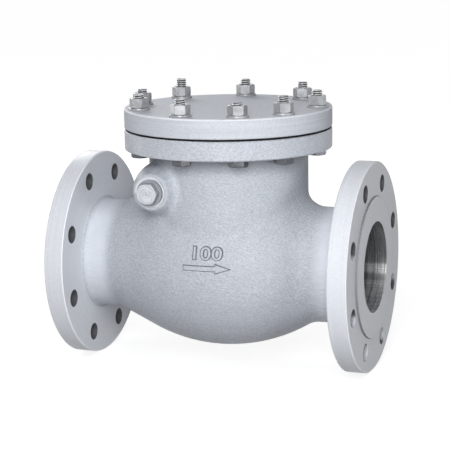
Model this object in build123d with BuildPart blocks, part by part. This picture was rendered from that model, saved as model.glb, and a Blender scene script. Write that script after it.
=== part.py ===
"""Flanged swing check valve, nominal size 100, millimetres.

The frame has its origin at the middle of the inlet face. X runs along the pipe with the flow,
Z points up to the bolted cover and Y runs along the hinge pin, with -Y the side that carries
the flow arrow.
"""

from build123d import *
from math import acos, asin, atan2, cos, degrees, hypot, isclose, radians, sin, sqrt
import os

# Pipe ends
FACE_TO_FACE = 350.0
BORE_RADIUS = 51.0
PIPE_BOLT_CIRCLE_RADIUS = 95.25
PIPE_BOLT_COUNT = 8
INLET_BOLT_HOLE_RADIUS = 9.5
OUTLET_BOLT_HOLE_RADIUS = 9.7
OUTLET_DRILLING_TURN = 0.35
PIPE_BOLT_TO_RIM = 22.0
PIPE_FLANGE_THICKNESS = 21.9
PIPE_FLANGE_FILLET = 5.0
PIPE_FLANGE_CHAMFER = 1.2
RAISED_FACE_TO_HOLES = 7.15
RAISED_FACE_HEIGHT = 2.0

# Cast barrel, turned about the pipe axis
BARREL_PAST_NECK = 8.0
BELLY_CURVE_SHARE = 0.826
INLET_HUB_WALL = 10.7
INLET_HUB_END = 52.0
INLET_HUB_FILLET = 30.0
OUTLET_NECK_WALL = 13.5
OUTLET_NECK_FILLET = 30.0
WALL = 10.5

# Cover neck, standing on the barrel
NECK_X = 180.0
NECK_BORE_RADIUS = 76.0
NECK_WALL = 13.4
NECK_TO_BARREL_FILLET = 17.0
COVER_FLANGE_BOTTOM = 129.0
COVER_FLANGE_THICKNESS = 21.8
COVER_FLANGE_FILLET = 1.5
COVER_RIM_ROUND = 1.5

# Cover and its gasket
GASKET_THICKNESS = 2.0
GASKET_INSET = 1.0
GASKET_BORE_STEP = 2.0
COVER_THICKNESS = 21.7
SPIGOT_DEPTH = 6.0
SPIGOT_CLEARANCE = 0.3

# Cover studs, drilled a little unevenly: each one's angle from the outlet side, the rise of its
# end above the nut, and the way that its upper nut faces
STUD_TO_NECK = 11.3
STUD_TO_RIM = 15.7
STUD_RADIUS = 6.0
STUD_HOLE_CLEARANCE = 0.75
STUD_END_CHAMFER = 1.2
STUD_ANGLES = [-147.5, -101.0, -65.0, -34.5, 7.0, 51.0, 97.5, 142.0, 184.0]
STUD_RISES = [4.0, 6.0, 2.5, 7.0, 5.5, 6.5, 6.0, 9.0, 4.0]
UPPER_NUT_FACINGS = [39.0, 50.0, 55.0, 58.0, 22.0, 42.0, 45.0, 42.0, 8.0]
STUD_TAIL = 0.7
NUT_ACROSS_FLATS = 19.0
UPPER_NUT_HEIGHT = 11.0
LOWER_NUT_HEIGHT = 7.5
TURNED_CORNER_SHARE = 0.475
COVER_WASHER_WIDTH = 6.0
COVER_WASHER_THICKNESS = 2.4

# Hinge, across the neck on the inlet side
HINGE_X = 123.0
HINGE_Z = 90.0
PIN_RADIUS = 7.0
PIN_END_PLAY = 0.5
PIN_END_CHAMFER = 1.0
RUNNING_CLEARANCE = 0.05
BOSS_RIM_WIDTH = 5.0
BOSS_PAST_NECK = 7.6
HOUSING_SWELL = 10.5
HOUSING_SWELL_Y = 53.0
HOUSING_ROOT_Y = 15.0
BOSS_FILLET = 8.0
BOSS_EDGE_ROUND = 1.5
LUG_WALL = 8.0
LUG_INNER_Y = 27.0

# Hinge plugs, screwed into the bosses at both ends of the pin
PLUG_THREAD_RADIUS = 10.0
PLUG_THREAD_LENGTH = 20.0
PLUG_COLLAR_WIDTH = 4.5
PLUG_COLLAR_THICKNESS = 2.0
PLUG_ACROSS_FLATS = 22.0
PLUG_HEAD_HEIGHT = 9.0
PLUG_TURN = 34.0
PLUG_CENTRE_MARK_RADIUS = 0.9
PLUG_CENTRE_MARK_DEPTH = 0.6
PLUG_GASKET_THICKNESS = 1.2

# Seat ring, screwed into the bridge wall
SEAT_FACE_X = 115.0
SEAT_BORE_RADIUS = 50.0
SEAT_RING_WALL = 5.0
SEAT_COLLAR_STEP = 4.0
SEAT_EDGE_CHAMFER = 1.0
SEAT_NOTCH_COUNT = 4
SEAT_NOTCH_WIDTH = 9.0
SEAT_NOTCH_DEPTH = 5.0
SEAT_NOTCH_REACH = 2.5
BRIDGE_FACE_X = 102.0
BRIDGE_THICKNESS = 12.0
INLET_CHAMBER_STEP = 15.0
INLET_FLARE_START = 40.0

# Disc with its stem
SEAT_GAP = 0.3
DISC_EDGE_INSET = 1.0
DISC_THICKNESS = 13.0
DISC_FACE_WIDTH = 10.0
DISC_FACE_RECESS = 2.0
DISC_RIM_CHAMFER = 1.0
DISC_BACK_FALL = 3.5
DISC_BOSS_WALL = 12.0
DISC_BOSS_HEIGHT = 3.7
STEM_RADIUS = 8.0
STEM_PAST_NUT = 2.0
SIDE_CLEARANCE = 0.3

# Disc washer, slotted nut and split pin
WASHER_WIDTH = 7.0
WASHER_THICKNESS = 3.0
DISC_NUT_WALL = 4.0
DISC_NUT_HEIGHT = 19.0
DISC_NUT_TURN = 30.0
DISC_NUT_SLOT_WIDTH = 4.5
DISC_NUT_SLOT_DEPTH = 6.5
SPLIT_PIN_RADIUS = 1.8
SPLIT_PIN_HOLE_CLEARANCE = 0.2
SPLIT_PIN_EYE_RADIUS = 3.2
SPLIT_PIN_REACH = 2.0
SPLIT_PIN_LEG_LENGTH = 6.0
SPLIT_PIN_LEG_ANGLE = 55.0

# Swing arm
OPEN_ANGLE = 65.0
ARM_EYE_WALL = 12.0
ARM_EYE_THICKNESS = 12.0
ARM_HUB_WALL = 6.0
ARM_SIDE_PLAY = 0.5
ARM_WAIST_WIDTH = 30.0
ARM_SHOULDER_WIDTH = 44.0
ARM_RIB_WIDTH = 10.0
ARM_RIB_HEIGHT = 8.0
ARM_RIB_START_Z = 26.0
ARM_BEND_Z = 64.0
ARM_HEEL_WIDTH = 16.0
ARM_HEEL_HEIGHT = 10.0
STOP_CLEARANCE = 0.3

# Radii that follow
PIPE_FLANGE_RADIUS = PIPE_BOLT_CIRCLE_RADIUS + PIPE_BOLT_TO_RIM
RAISED_FACE_RADIUS = PIPE_BOLT_CIRCLE_RADIUS - INLET_BOLT_HOLE_RADIUS - RAISED_FACE_TO_HOLES
INLET_HUB_RADIUS = BORE_RADIUS + INLET_HUB_WALL
OUTLET_NECK_RADIUS = BORE_RADIUS + OUTLET_NECK_WALL
INLET_CHAMBER_RADIUS = BORE_RADIUS + INLET_CHAMBER_STEP
NECK_RADIUS = NECK_BORE_RADIUS + NECK_WALL
BARREL_RADIUS = NECK_RADIUS + BARREL_PAST_NECK
STUD_CIRCLE_RADIUS = NECK_RADIUS + STUD_TO_NECK
STUD_HOLE_RADIUS = STUD_RADIUS + STUD_HOLE_CLEARANCE
COVER_FLANGE_RADIUS = STUD_CIRCLE_RADIUS + STUD_TO_RIM
COVER_WASHER_RADIUS = STUD_RADIUS + COVER_WASHER_WIDTH
GASKET_BORE_RADIUS = NECK_BORE_RADIUS + GASKET_BORE_STEP
PLUG_COLLAR_RADIUS = PLUG_THREAD_RADIUS + PLUG_COLLAR_WIDTH
BOSS_RADIUS = PLUG_COLLAR_RADIUS + BOSS_RIM_WIDTH
HOUSING_RADIUS = BOSS_RADIUS + HOUSING_SWELL
LUG_RADIUS = PIN_RADIUS + LUG_WALL
SEAT_THREAD_RADIUS = SEAT_BORE_RADIUS + SEAT_RING_WALL
SEAT_COLLAR_RADIUS = SEAT_THREAD_RADIUS + SEAT_COLLAR_STEP
DISC_RADIUS = SEAT_COLLAR_RADIUS - DISC_EDGE_INSET
DISC_BOSS_RADIUS = STEM_RADIUS + DISC_BOSS_WALL
WASHER_RADIUS = STEM_RADIUS + WASHER_WIDTH
DISC_NUT_ACROSS_FLATS = 2 * (STEM_RADIUS + DISC_NUT_WALL)
ARM_EYE_RADIUS = STEM_RADIUS + ARM_EYE_WALL
ARM_HUB_RADIUS = PIN_RADIUS + ARM_HUB_WALL

# Heights and places that follow
GASKET_Z = COVER_FLANGE_BOTTOM + COVER_FLANGE_THICKNESS
COVER_Z = GASKET_Z + GASKET_THICKNESS
COVER_TOP_Z = COVER_Z + COVER_THICKNESS
UPPER_NUT_Z = COVER_TOP_Z + COVER_WASHER_THICKNESS
FLANGE_BACK = RAISED_FACE_HEIGHT + PIPE_FLANGE_THICKNESS
OUTLET_FLANGE_BACK = FACE_TO_FACE - FLANGE_BACK
BARREL_X = FACE_TO_FACE / 2
BARREL_RISE = BARREL_RADIUS - INLET_HUB_RADIUS
WIDEST_CURVE_RADIUS = ((BARREL_X - INLET_HUB_END) ** 2 + BARREL_RISE**2) / (2 * BARREL_RISE)
BARREL_CURVE_RADIUS = BELLY_CURVE_SHARE * WIDEST_CURVE_RADIUS
BARREL_DROP = BARREL_CURVE_RADIUS - BARREL_RADIUS
BRIDGE_BACK_X = BRIDGE_FACE_X - BRIDGE_THICKNESS
DISC_FACE_X = SEAT_FACE_X + SEAT_GAP
DISC_BACK_X = DISC_FACE_X + DISC_THICKNESS
ARM_EYE_X = DISC_BACK_X + DISC_BOSS_HEIGHT + SIDE_CLEARANCE
ARM_EYE_BACK_X = ARM_EYE_X + ARM_EYE_THICKNESS
WASHER_X = ARM_EYE_BACK_X + SIDE_CLEARANCE
DISC_NUT_X = WASHER_X + WASHER_THICKNESS
DISC_NUT_END_X = DISC_NUT_X + DISC_NUT_HEIGHT
STEM_END_X = DISC_NUT_END_X + STEM_PAST_NUT
SPLIT_PIN_X = DISC_NUT_END_X - DISC_NUT_SLOT_DEPTH / 2
BOSS_FACE_Y = NECK_RADIUS + BOSS_PAST_NECK
PLUG_HOLE_DEPTH = PLUG_THREAD_LENGTH + PIN_END_PLAY
PIN_HALF_LENGTH = BOSS_FACE_Y - PLUG_HOLE_DEPTH - PIN_END_PLAY
ARM_HUB_HALF_LENGTH = LUG_INNER_Y - ARM_SIDE_PLAY

# Planes that face along the flow, and one through the pipe axis with its second direction down
ACROSS_PIPE = Plane.YZ
LENGTHWISE_DOWN = -Plane.XZ
HINGE_AXIS = Axis((HINGE_X, 0, HINGE_Z), (0, 1, 0))


def along_pipe(x):
    """Plane square to the pipe at a distance from the inlet face."""
    return ACROSS_PIPE.offset(x)


def hex_block(across_flats, height, bore_radius=0.0, both_ends=True):
    """Hexagon standing on the XY plane with one flat towards +X, its corners turned down."""
    corner_radius = across_flats / sqrt(3)
    turned_radius = TURNED_CORNER_SHARE * across_flats
    turned_depth = (corner_radius - turned_radius) / sqrt(3)
    foot_radius = turned_radius if both_ends else corner_radius
    with BuildPart() as block:
        with BuildSketch():
            RegularPolygon(across_flats / 2, 6, major_radius=False, rotation=-30)
            if bore_radius > 0:
                Circle(bore_radius, mode=Mode.SUBTRACT)
        extrude(amount=height)
        with BuildSketch(Plane.XZ):
            Polygon(
                (0, 0),
                (foot_radius, 0),
                (corner_radius, turned_depth),
                (corner_radius, height - turned_depth),
                (turned_radius, height),
                (0, height),
                align=None,
            )
        revolve(axis=Axis.Z, mode=Mode.INTERSECT)
    return block.part


def stud_places(height, facings=None):
    """One location for each cover stud, turned to its own facing or else to the cover's axis."""
    places = []
    for angle, turn in zip(STUD_ANGLES, facings or STUD_ANGLES):
        x = NECK_X + STUD_CIRCLE_RADIUS * cos(radians(angle))
        y = STUD_CIRCLE_RADIUS * sin(radians(angle))
        places.append(Location((x, y, height), (0, 0, turn)))
    return places


def boss_plane(side):
    """Plane on the face of a hinge boss, facing out: side is -1 where the arrow is, else 1."""
    return Plane(
        origin=(HINGE_X, side * BOSS_FACE_Y, HINGE_Z),
        x_dir=(1, 0, 0),
        z_dir=(0, side, 0),
    )


def hinge_plug(side):
    """Hexagon plug with a round collar, screwed into one hinge boss over its gasket."""
    collar_seat = boss_plane(side).offset(PLUG_GASKET_THICKNESS)
    head_seat = collar_seat.offset(PLUG_COLLAR_THICKNESS)
    with BuildPart() as plug:
        with BuildSketch(collar_seat):
            Circle(PLUG_THREAD_RADIUS)
        extrude(amount=-PLUG_THREAD_LENGTH - PLUG_GASKET_THICKNESS)
        with BuildSketch(collar_seat):
            Circle(PLUG_COLLAR_RADIUS)
        extrude(amount=PLUG_COLLAR_THICKNESS)
        with Locations(head_seat.location * Location((0, 0, 0), (0, 0, PLUG_TURN))):
            add(hex_block(PLUG_ACROSS_FLATS, PLUG_HEAD_HEIGHT, both_ends=False))
        with BuildSketch(head_seat.offset(PLUG_HEAD_HEIGHT)):
            Circle(PLUG_CENTRE_MARK_RADIUS)
        extrude(amount=-PLUG_CENTRE_MARK_DEPTH, mode=Mode.SUBTRACT)
    return plug.part


def plug_gasket(side):
    """Flat ring between one hinge boss and the collar of its plug."""
    with BuildPart() as ring:
        with BuildSketch(boss_plane(side)):
            Circle(PLUG_COLLAR_RADIUS)
            Circle(PLUG_THREAD_RADIUS, mode=Mode.SUBTRACT)
        extrude(amount=PLUG_GASKET_THICKNESS)
    return ring.part


def rings_on_pipe(shape, x, radius):
    """Round edges about the pipe axis, at one distance from the inlet face and of one radius."""
    circles = shape.edges().filter_by(GeomType.CIRCLE)
    return circles.filter_by(
        lambda edge: isclose(edge.arc_center.X, x, abs_tol=0.001)
        and isclose(edge.radius, radius, abs_tol=0.001)
    )


def rims_on_cover_axis(shape, z, radius):
    """Round edges about the cover's axis, at one height and of one radius."""
    circles = shape.edges().filter_by(GeomType.CIRCLE)
    return circles.filter_by(
        lambda edge: isclose(edge.arc_center.Z, z, abs_tol=0.001)
        and isclose(edge.radius, radius, abs_tol=0.001)
    )


os.makedirs("parts", exist_ok=True)

# Barrel outline: straight cone that leaves the inlet hub and meets the round belly tangentially
hub_to_centre_x = BARREL_X - INLET_HUB_END
hub_to_centre_z = INLET_HUB_RADIUS + BARREL_DROP
hub_to_centre = hypot(hub_to_centre_x, hub_to_centre_z)
cone_angle = asin(BARREL_CURVE_RADIUS / hub_to_centre) - atan2(hub_to_centre_z, hub_to_centre_x)
cone_length = sqrt(hub_to_centre**2 - BARREL_CURVE_RADIUS**2)
cone_end = (
    INLET_HUB_END + cone_length * cos(cone_angle),
    INLET_HUB_RADIUS + cone_length * sin(cone_angle),
)
belly_start_angle = degrees(acos((cone_end[0] - BARREL_X) / BARREL_CURVE_RADIUS))
belly_end_angle = degrees(asin((OUTLET_NECK_RADIUS + BARREL_DROP) / BARREL_CURVE_RADIUS))
belly_end = (
    BARREL_X + BARREL_CURVE_RADIUS * cos(radians(belly_end_angle)),
    OUTLET_NECK_RADIUS,
)

# Hollow of the body, from the inlet past the bridge wall to the outlet and up the neck
inner_curve_radius = BARREL_CURVE_RADIUS - WALL
chamber_start_z = sqrt(inner_curve_radius**2 - (BARREL_X - BRIDGE_FACE_X) ** 2) - BARREL_DROP
chamber_start_angle = degrees(acos((BRIDGE_FACE_X - BARREL_X) / inner_curve_radius))
chamber_end_angle = degrees(asin((BORE_RADIUS + BARREL_DROP) / inner_curve_radius))
chamber_end = (
    BARREL_X + inner_curve_radius * cos(radians(chamber_end_angle)),
    BORE_RADIUS,
)
with BuildPart() as hollow:
    with BuildSketch(LENGTHWISE_DOWN):
        Polygon(
            (0, 0),
            (0, BORE_RADIUS),
            (INLET_FLARE_START, BORE_RADIUS),
            (BRIDGE_BACK_X, INLET_CHAMBER_RADIUS),
            (BRIDGE_BACK_X, 0),
            align=None,
        )
    revolve(axis=Axis.X)
    with BuildSketch(LENGTHWISE_DOWN):
        with BuildLine():
            Line((BRIDGE_FACE_X, 0), (BRIDGE_FACE_X, chamber_start_z))
            CenterArc(
                (BARREL_X, -BARREL_DROP),
                inner_curve_radius,
                chamber_end_angle,
                chamber_start_angle - chamber_end_angle,
            )
            Polyline(chamber_end, (FACE_TO_FACE, BORE_RADIUS), (FACE_TO_FACE, 0), (BRIDGE_FACE_X, 0))
        make_face()
    revolve(axis=Axis.X)
    with BuildSketch(Plane.XY):
        with Locations((NECK_X, 0)):
            Circle(NECK_BORE_RADIUS)
    extrude(amount=GASKET_Z)
    with BuildSketch(along_pipe(BRIDGE_BACK_X)):
        Circle(SEAT_THREAD_RADIUS)
    extrude(amount=BRIDGE_THICKNESS)

# Body casting with its machined flanges
with BuildPart() as valve_body:
    with BuildSketch(LENGTHWISE_DOWN):
        with BuildLine():
            Polyline(
                (0, 0),
                (0, RAISED_FACE_RADIUS),
                (RAISED_FACE_HEIGHT, RAISED_FACE_RADIUS),
                (RAISED_FACE_HEIGHT, PIPE_FLANGE_RADIUS),
                (FLANGE_BACK, PIPE_FLANGE_RADIUS),
                (FLANGE_BACK, INLET_HUB_RADIUS),
                (INLET_HUB_END, INLET_HUB_RADIUS),
                cone_end,
            )
            CenterArc(
                (BARREL_X, -BARREL_DROP),
                BARREL_CURVE_RADIUS,
                belly_end_angle,
                belly_start_angle - belly_end_angle,
            )
            Polyline(
                belly_end,
                (OUTLET_FLANGE_BACK, OUTLET_NECK_RADIUS),
                (OUTLET_FLANGE_BACK, PIPE_FLANGE_RADIUS),
                (FACE_TO_FACE - RAISED_FACE_HEIGHT, PIPE_FLANGE_RADIUS),
                (FACE_TO_FACE - RAISED_FACE_HEIGHT, RAISED_FACE_RADIUS),
                (FACE_TO_FACE, RAISED_FACE_RADIUS),
                (FACE_TO_FACE, 0),
                (0, 0),
            )
        make_face()
    revolve(axis=Axis.X)
    fillet(rings_on_pipe(valve_body, *belly_end), radius=OUTLET_NECK_FILLET)
    fillet(rings_on_pipe(valve_body, INLET_HUB_END, INLET_HUB_RADIUS), radius=INLET_HUB_FILLET)
    fillet(
        rings_on_pipe(valve_body, FLANGE_BACK, INLET_HUB_RADIUS)
        + rings_on_pipe(valve_body, OUTLET_FLANGE_BACK, OUTLET_NECK_RADIUS),
        radius=PIPE_FLANGE_FILLET,
    )
    for rim_x in (
        RAISED_FACE_HEIGHT,
        FLANGE_BACK,
        OUTLET_FLANGE_BACK,
        FACE_TO_FACE - RAISED_FACE_HEIGHT,
    ):
        chamfer(rings_on_pipe(valve_body, rim_x, PIPE_FLANGE_RADIUS), length=PIPE_FLANGE_CHAMFER)

    # Neck, blended into the barrel, with the cover flange on top
    with BuildSketch(Plane.XY):
        with Locations((NECK_X, 0)):
            Circle(NECK_RADIUS)
    extrude(amount=COVER_FLANGE_BOTTOM)
    neck_seam = edges(Select.NEW).filter_by(GeomType.CIRCLE, reverse=True)
    fillet(neck_seam, radius=NECK_TO_BARREL_FILLET)
    with BuildSketch(Plane.XY.offset(COVER_FLANGE_BOTTOM)):
        with Locations((NECK_X, 0)):
            Circle(COVER_FLANGE_RADIUS)
    extrude(amount=COVER_FLANGE_THICKNESS)

    # Hinge bosses on both sides of the neck, swelling towards it
    with BuildSketch(Plane.XY.offset(HINGE_Z)):
        for side in (-1, 1):
            with BuildLine():
                boss_rim = (HINGE_X - BOSS_RADIUS, side * BOSS_FACE_Y)
                boss_root = (HINGE_X - BOSS_RADIUS, side * HOUSING_ROOT_Y)
                ThreePointArc(boss_rim, (HINGE_X - HOUSING_RADIUS, side * HOUSING_SWELL_Y), boss_root)
                Polyline(boss_root, (HINGE_X, side * HOUSING_ROOT_Y), (HINGE_X, side * BOSS_FACE_Y), boss_rim)
            make_face()
    revolve(axis=HINGE_AXIS)
    boss_seams = edges(Select.NEW).filter_by(GeomType.CIRCLE, reverse=True)
    boss_seams = boss_seams.filter_by(GeomType.LINE, reverse=True)
    fillet(boss_seams, radius=BOSS_FILLET)
    boss_rims = faces().filter_by(Axis.Y).group_by(Axis.Y)
    chamfer((boss_rims[0] + boss_rims[-1]).edges(), length=BOSS_EDGE_ROUND)
    fillet(rims_on_cover_axis(valve_body, COVER_FLANGE_BOTTOM, NECK_RADIUS), radius=COVER_FLANGE_FILLET)
    fillet(
        rims_on_cover_axis(valve_body, COVER_FLANGE_BOTTOM, COVER_FLANGE_RADIUS)
        + rims_on_cover_axis(valve_body, GASKET_Z, COVER_FLANGE_RADIUS),
        radius=COVER_RIM_ROUND,
    )

    # Inside: the hollow, then the two lugs that carry the pin beside the arm
    add(hollow.part, mode=Mode.SUBTRACT)
    for side in (-1, 1):
        with BuildSketch(boss_plane(side).offset(-PLUG_HOLE_DEPTH)):
            Circle(LUG_RADIUS)
        extrude(amount=-(BOSS_FACE_Y - PLUG_HOLE_DEPTH - LUG_INNER_Y))
    with BuildSketch(Plane.XZ):
        with Locations((HINGE_X, HINGE_Z)):
            Circle(PIN_RADIUS)
    extrude(amount=BOSS_FACE_Y, both=True, mode=Mode.SUBTRACT)
    for side in (-1, 1):
        with BuildSketch(boss_plane(side)):
            Circle(PLUG_THREAD_RADIUS)
        extrude(amount=-PLUG_HOLE_DEPTH, mode=Mode.SUBTRACT)

    # Bolt holes astride the centrelines, each flange drilled by itself, and stud holes
    for flange_x, hole_radius, drilling_turn in (
        (0, INLET_BOLT_HOLE_RADIUS, 0),
        (OUTLET_FLANGE_BACK, OUTLET_BOLT_HOLE_RADIUS, OUTLET_DRILLING_TURN),
    ):
        first_hole = 180 / PIPE_BOLT_COUNT + drilling_turn
        with BuildSketch(along_pipe(flange_x)):
            with PolarLocations(PIPE_BOLT_CIRCLE_RADIUS, PIPE_BOLT_COUNT, first_hole):
                Circle(hole_radius)
        extrude(amount=FLANGE_BACK, mode=Mode.SUBTRACT)
    with BuildSketch(Plane.XY.offset(COVER_FLANGE_BOTTOM)):
        with Locations(*stud_places(0)):
            Circle(STUD_HOLE_RADIUS)
    extrude(amount=COVER_FLANGE_THICKNESS, mode=Mode.SUBTRACT)
valve_body.part.label = "valve_body"
export_step(valve_body.part, "parts/valve_body.step")

# Seat ring, its thread in the bridge wall and its collar against the wall's outlet side
with BuildPart() as seat_ring:
    with BuildSketch(LENGTHWISE_DOWN):
        Polygon(
            (BRIDGE_BACK_X, SEAT_BORE_RADIUS),
            (BRIDGE_BACK_X, SEAT_THREAD_RADIUS),
            (BRIDGE_FACE_X, SEAT_THREAD_RADIUS),
            (BRIDGE_FACE_X, SEAT_COLLAR_RADIUS),
            (SEAT_FACE_X - SEAT_EDGE_CHAMFER, SEAT_COLLAR_RADIUS),
            (SEAT_FACE_X, SEAT_COLLAR_RADIUS - SEAT_EDGE_CHAMFER),
            (SEAT_FACE_X, SEAT_BORE_RADIUS),
            align=None,
        )
    revolve(axis=Axis.X)
    with BuildSketch(along_pipe(SEAT_FACE_X)):
        with PolarLocations(SEAT_BORE_RADIUS, SEAT_NOTCH_COUNT, 180 / SEAT_NOTCH_COUNT):
            Rectangle(2 * SEAT_NOTCH_REACH, SEAT_NOTCH_WIDTH)
    extrude(amount=-SEAT_NOTCH_DEPTH, mode=Mode.SUBTRACT)
seat_ring.part.label = "seat_ring"
export_step(seat_ring.part, "parts/seat_ring.step")

# Blank cover with a spigot in the neck
with BuildPart() as cover:
    with BuildSketch(Plane.XY.offset(COVER_Z)):
        with Locations((NECK_X, 0)):
            Circle(COVER_FLANGE_RADIUS)
    extrude(amount=COVER_THICKNESS)
    fillet(cover.edges().filter_by(GeomType.CIRCLE), radius=COVER_RIM_ROUND)
    with BuildSketch(Plane.XY.offset(COVER_Z)):
        with Locations((NECK_X, 0)):
            Circle(NECK_BORE_RADIUS - SPIGOT_CLEARANCE)
    extrude(amount=-SPIGOT_DEPTH)
    with BuildSketch(Plane.XY.offset(COVER_Z)):
        with Locations(*stud_places(0)):
            Circle(STUD_HOLE_RADIUS)
    extrude(amount=COVER_THICKNESS, mode=Mode.SUBTRACT)
cover.part.label = "cover"
export_step(cover.part, "parts/cover.step")

with BuildPart() as cover_gasket:
    with BuildSketch(Plane.XY.offset(GASKET_Z)):
        with Locations((NECK_X, 0)):
            Circle(COVER_FLANGE_RADIUS - GASKET_INSET)
            Circle(GASKET_BORE_RADIUS, mode=Mode.SUBTRACT)
        with Locations(*stud_places(0)):
            Circle(STUD_HOLE_RADIUS, mode=Mode.SUBTRACT)
    extrude(amount=GASKET_THICKNESS)
cover_gasket.part.label = "cover_gasket"
export_step(cover_gasket.part, "parts/cover_gasket.step")

# Studs right through both flanges, each with a nut at both ends
stud_foot_z = COVER_FLANGE_BOTTOM - LOWER_NUT_HEIGHT - STUD_TAIL
stud_grip = UPPER_NUT_Z + UPPER_NUT_HEIGHT - stud_foot_z
with BuildPart() as cover_studs:
    for place, rise in zip(stud_places(stud_foot_z), STUD_RISES):
        with Locations(place):
            Cylinder(STUD_RADIUS, stud_grip + rise, align=(Align.CENTER, Align.CENTER, Align.MIN))
    chamfer(cover_studs.edges().filter_by(GeomType.CIRCLE), length=STUD_END_CHAMFER)
cover_studs.part.label = "cover_studs"
export_step(cover_studs.part, "parts/cover_studs.step")

with BuildPart() as cover_washers:
    with BuildSketch(Plane.XY.offset(COVER_TOP_Z)):
        with Locations(*stud_places(0)):
            Circle(COVER_WASHER_RADIUS)
            Circle(STUD_RADIUS, mode=Mode.SUBTRACT)
    extrude(amount=COVER_WASHER_THICKNESS)
cover_washers.part.label = "cover_washers"
export_step(cover_washers.part, "parts/cover_washers.step")

with BuildPart() as cover_nuts_upper:
    with Locations(*stud_places(UPPER_NUT_Z, UPPER_NUT_FACINGS)):
        add(hex_block(NUT_ACROSS_FLATS, UPPER_NUT_HEIGHT, STUD_RADIUS))
cover_nuts_upper.part.label = "cover_nuts_upper"
export_step(cover_nuts_upper.part, "parts/cover_nuts_upper.step")

with BuildPart() as cover_nuts_lower:
    with Locations(*stud_places(COVER_FLANGE_BOTTOM - LOWER_NUT_HEIGHT)):
        add(hex_block(NUT_ACROSS_FLATS, LOWER_NUT_HEIGHT, STUD_RADIUS))
cover_nuts_lower.part.label = "cover_nuts_lower"
export_step(cover_nuts_lower.part, "parts/cover_nuts_lower.step")

with BuildPart() as hinge_pin:
    with BuildSketch(Plane.XZ):
        with Locations((HINGE_X, HINGE_Z)):
            Circle(PIN_RADIUS)
    extrude(amount=PIN_HALF_LENGTH, both=True)
    chamfer(hinge_pin.edges().filter_by(GeomType.CIRCLE), length=PIN_END_CHAMFER)
hinge_pin.part.label = "hinge_pin"
export_step(hinge_pin.part, "parts/hinge_pin.step")

# Plug and gasket on each hinge boss
with BuildPart() as hinge_plug_front:
    add(hinge_plug(-1))
hinge_plug_front.part.label = "hinge_plug_front"
export_step(hinge_plug_front.part, "parts/hinge_plug_front.step")

with BuildPart() as hinge_plug_rear:
    add(hinge_plug(1))
hinge_plug_rear.part.label = "hinge_plug_rear"
export_step(hinge_plug_rear.part, "parts/hinge_plug_rear.step")

with BuildPart() as plug_gasket_front:
    add(plug_gasket(-1))
plug_gasket_front.part.label = "plug_gasket_front"
export_step(plug_gasket_front.part, "parts/plug_gasket_front.step")

with BuildPart() as plug_gasket_rear:
    add(plug_gasket(1))
plug_gasket_rear.part.label = "plug_gasket_rear"
export_step(plug_gasket_rear.part, "parts/plug_gasket_rear.step")

# Swing arm: eye behind the disc, bent shank with a rib, hub on the pin and a heel as its stop
neck_wall_x = NECK_X - sqrt(NECK_BORE_RADIUS**2 - (ARM_HEEL_WIDTH / 2) ** 2)
heel_reach = HINGE_X - neck_wall_x - STOP_CLEARANCE
with BuildPart() as swing_arm:
    with BuildSketch(Plane.XZ):
        Polygon(
            (ARM_EYE_X, -ARM_EYE_RADIUS),
            (ARM_EYE_BACK_X, -ARM_EYE_RADIUS),
            (ARM_EYE_BACK_X, ARM_BEND_Z),
            (HINGE_X + ARM_HUB_RADIUS, HINGE_Z),
            (HINGE_X, HINGE_Z),
            (HINGE_X, HINGE_Z - ARM_HUB_RADIUS),
            (ARM_EYE_X, ARM_BEND_Z),
            align=None,
        )
    extrude(amount=ARM_SHOULDER_WIDTH / 2, both=True)
    with BuildSketch(ACROSS_PIPE):
        Circle(ARM_EYE_RADIUS)
        Polygon(
            (-ARM_WAIST_WIDTH / 2, 0),
            (ARM_WAIST_WIDTH / 2, 0),
            (ARM_SHOULDER_WIDTH / 2, HINGE_Z - ARM_HUB_RADIUS),
            (ARM_SHOULDER_WIDTH / 2, HINGE_Z),
            (-ARM_SHOULDER_WIDTH / 2, HINGE_Z),
            (-ARM_SHOULDER_WIDTH / 2, HINGE_Z - ARM_HUB_RADIUS),
            align=None,
        )
    extrude(amount=FACE_TO_FACE, mode=Mode.INTERSECT)
    with BuildSketch(Plane.XZ):
        with Locations((HINGE_X, HINGE_Z)):
            Circle(ARM_HUB_RADIUS)
    extrude(amount=ARM_HUB_HALF_LENGTH, both=True)
    with BuildSketch(Plane.XZ):
        Polygon(
            (ARM_EYE_BACK_X, ARM_RIB_START_Z),
            (ARM_EYE_BACK_X + ARM_RIB_HEIGHT, ARM_RIB_START_Z + ARM_RIB_HEIGHT),
            (ARM_EYE_BACK_X + ARM_RIB_HEIGHT, ARM_BEND_Z),
            (HINGE_X + ARM_HUB_RADIUS, HINGE_Z),
            (HINGE_X, HINGE_Z),
            align=None,
        )
    extrude(amount=ARM_RIB_WIDTH / 2, both=True)
    with BuildSketch(Plane.XZ):
        with Locations(Location((HINGE_X, HINGE_Z, 0), (0, 0, -OPEN_ANGLE))):
            Polygon(
                (0, 0),
                (0, ARM_HEEL_HEIGHT),
                (-heel_reach, ARM_HEEL_HEIGHT),
                (-heel_reach, 0),
                align=None,
            )
    extrude(amount=ARM_HEEL_WIDTH / 2, both=True)
    with BuildSketch(Plane.XZ):
        with Locations((HINGE_X, HINGE_Z)):
            Circle(PIN_RADIUS + RUNNING_CLEARANCE)
    extrude(amount=ARM_HUB_HALF_LENGTH, both=True, mode=Mode.SUBTRACT)
    with BuildSketch(along_pipe(ARM_EYE_X)):
        Circle(STEM_RADIUS + RUNNING_CLEARANCE)
    extrude(amount=ARM_EYE_THICKNESS, mode=Mode.SUBTRACT)
swing_arm.part.label = "swing_arm"
export_step(swing_arm.part, "parts/swing_arm.step")

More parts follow.
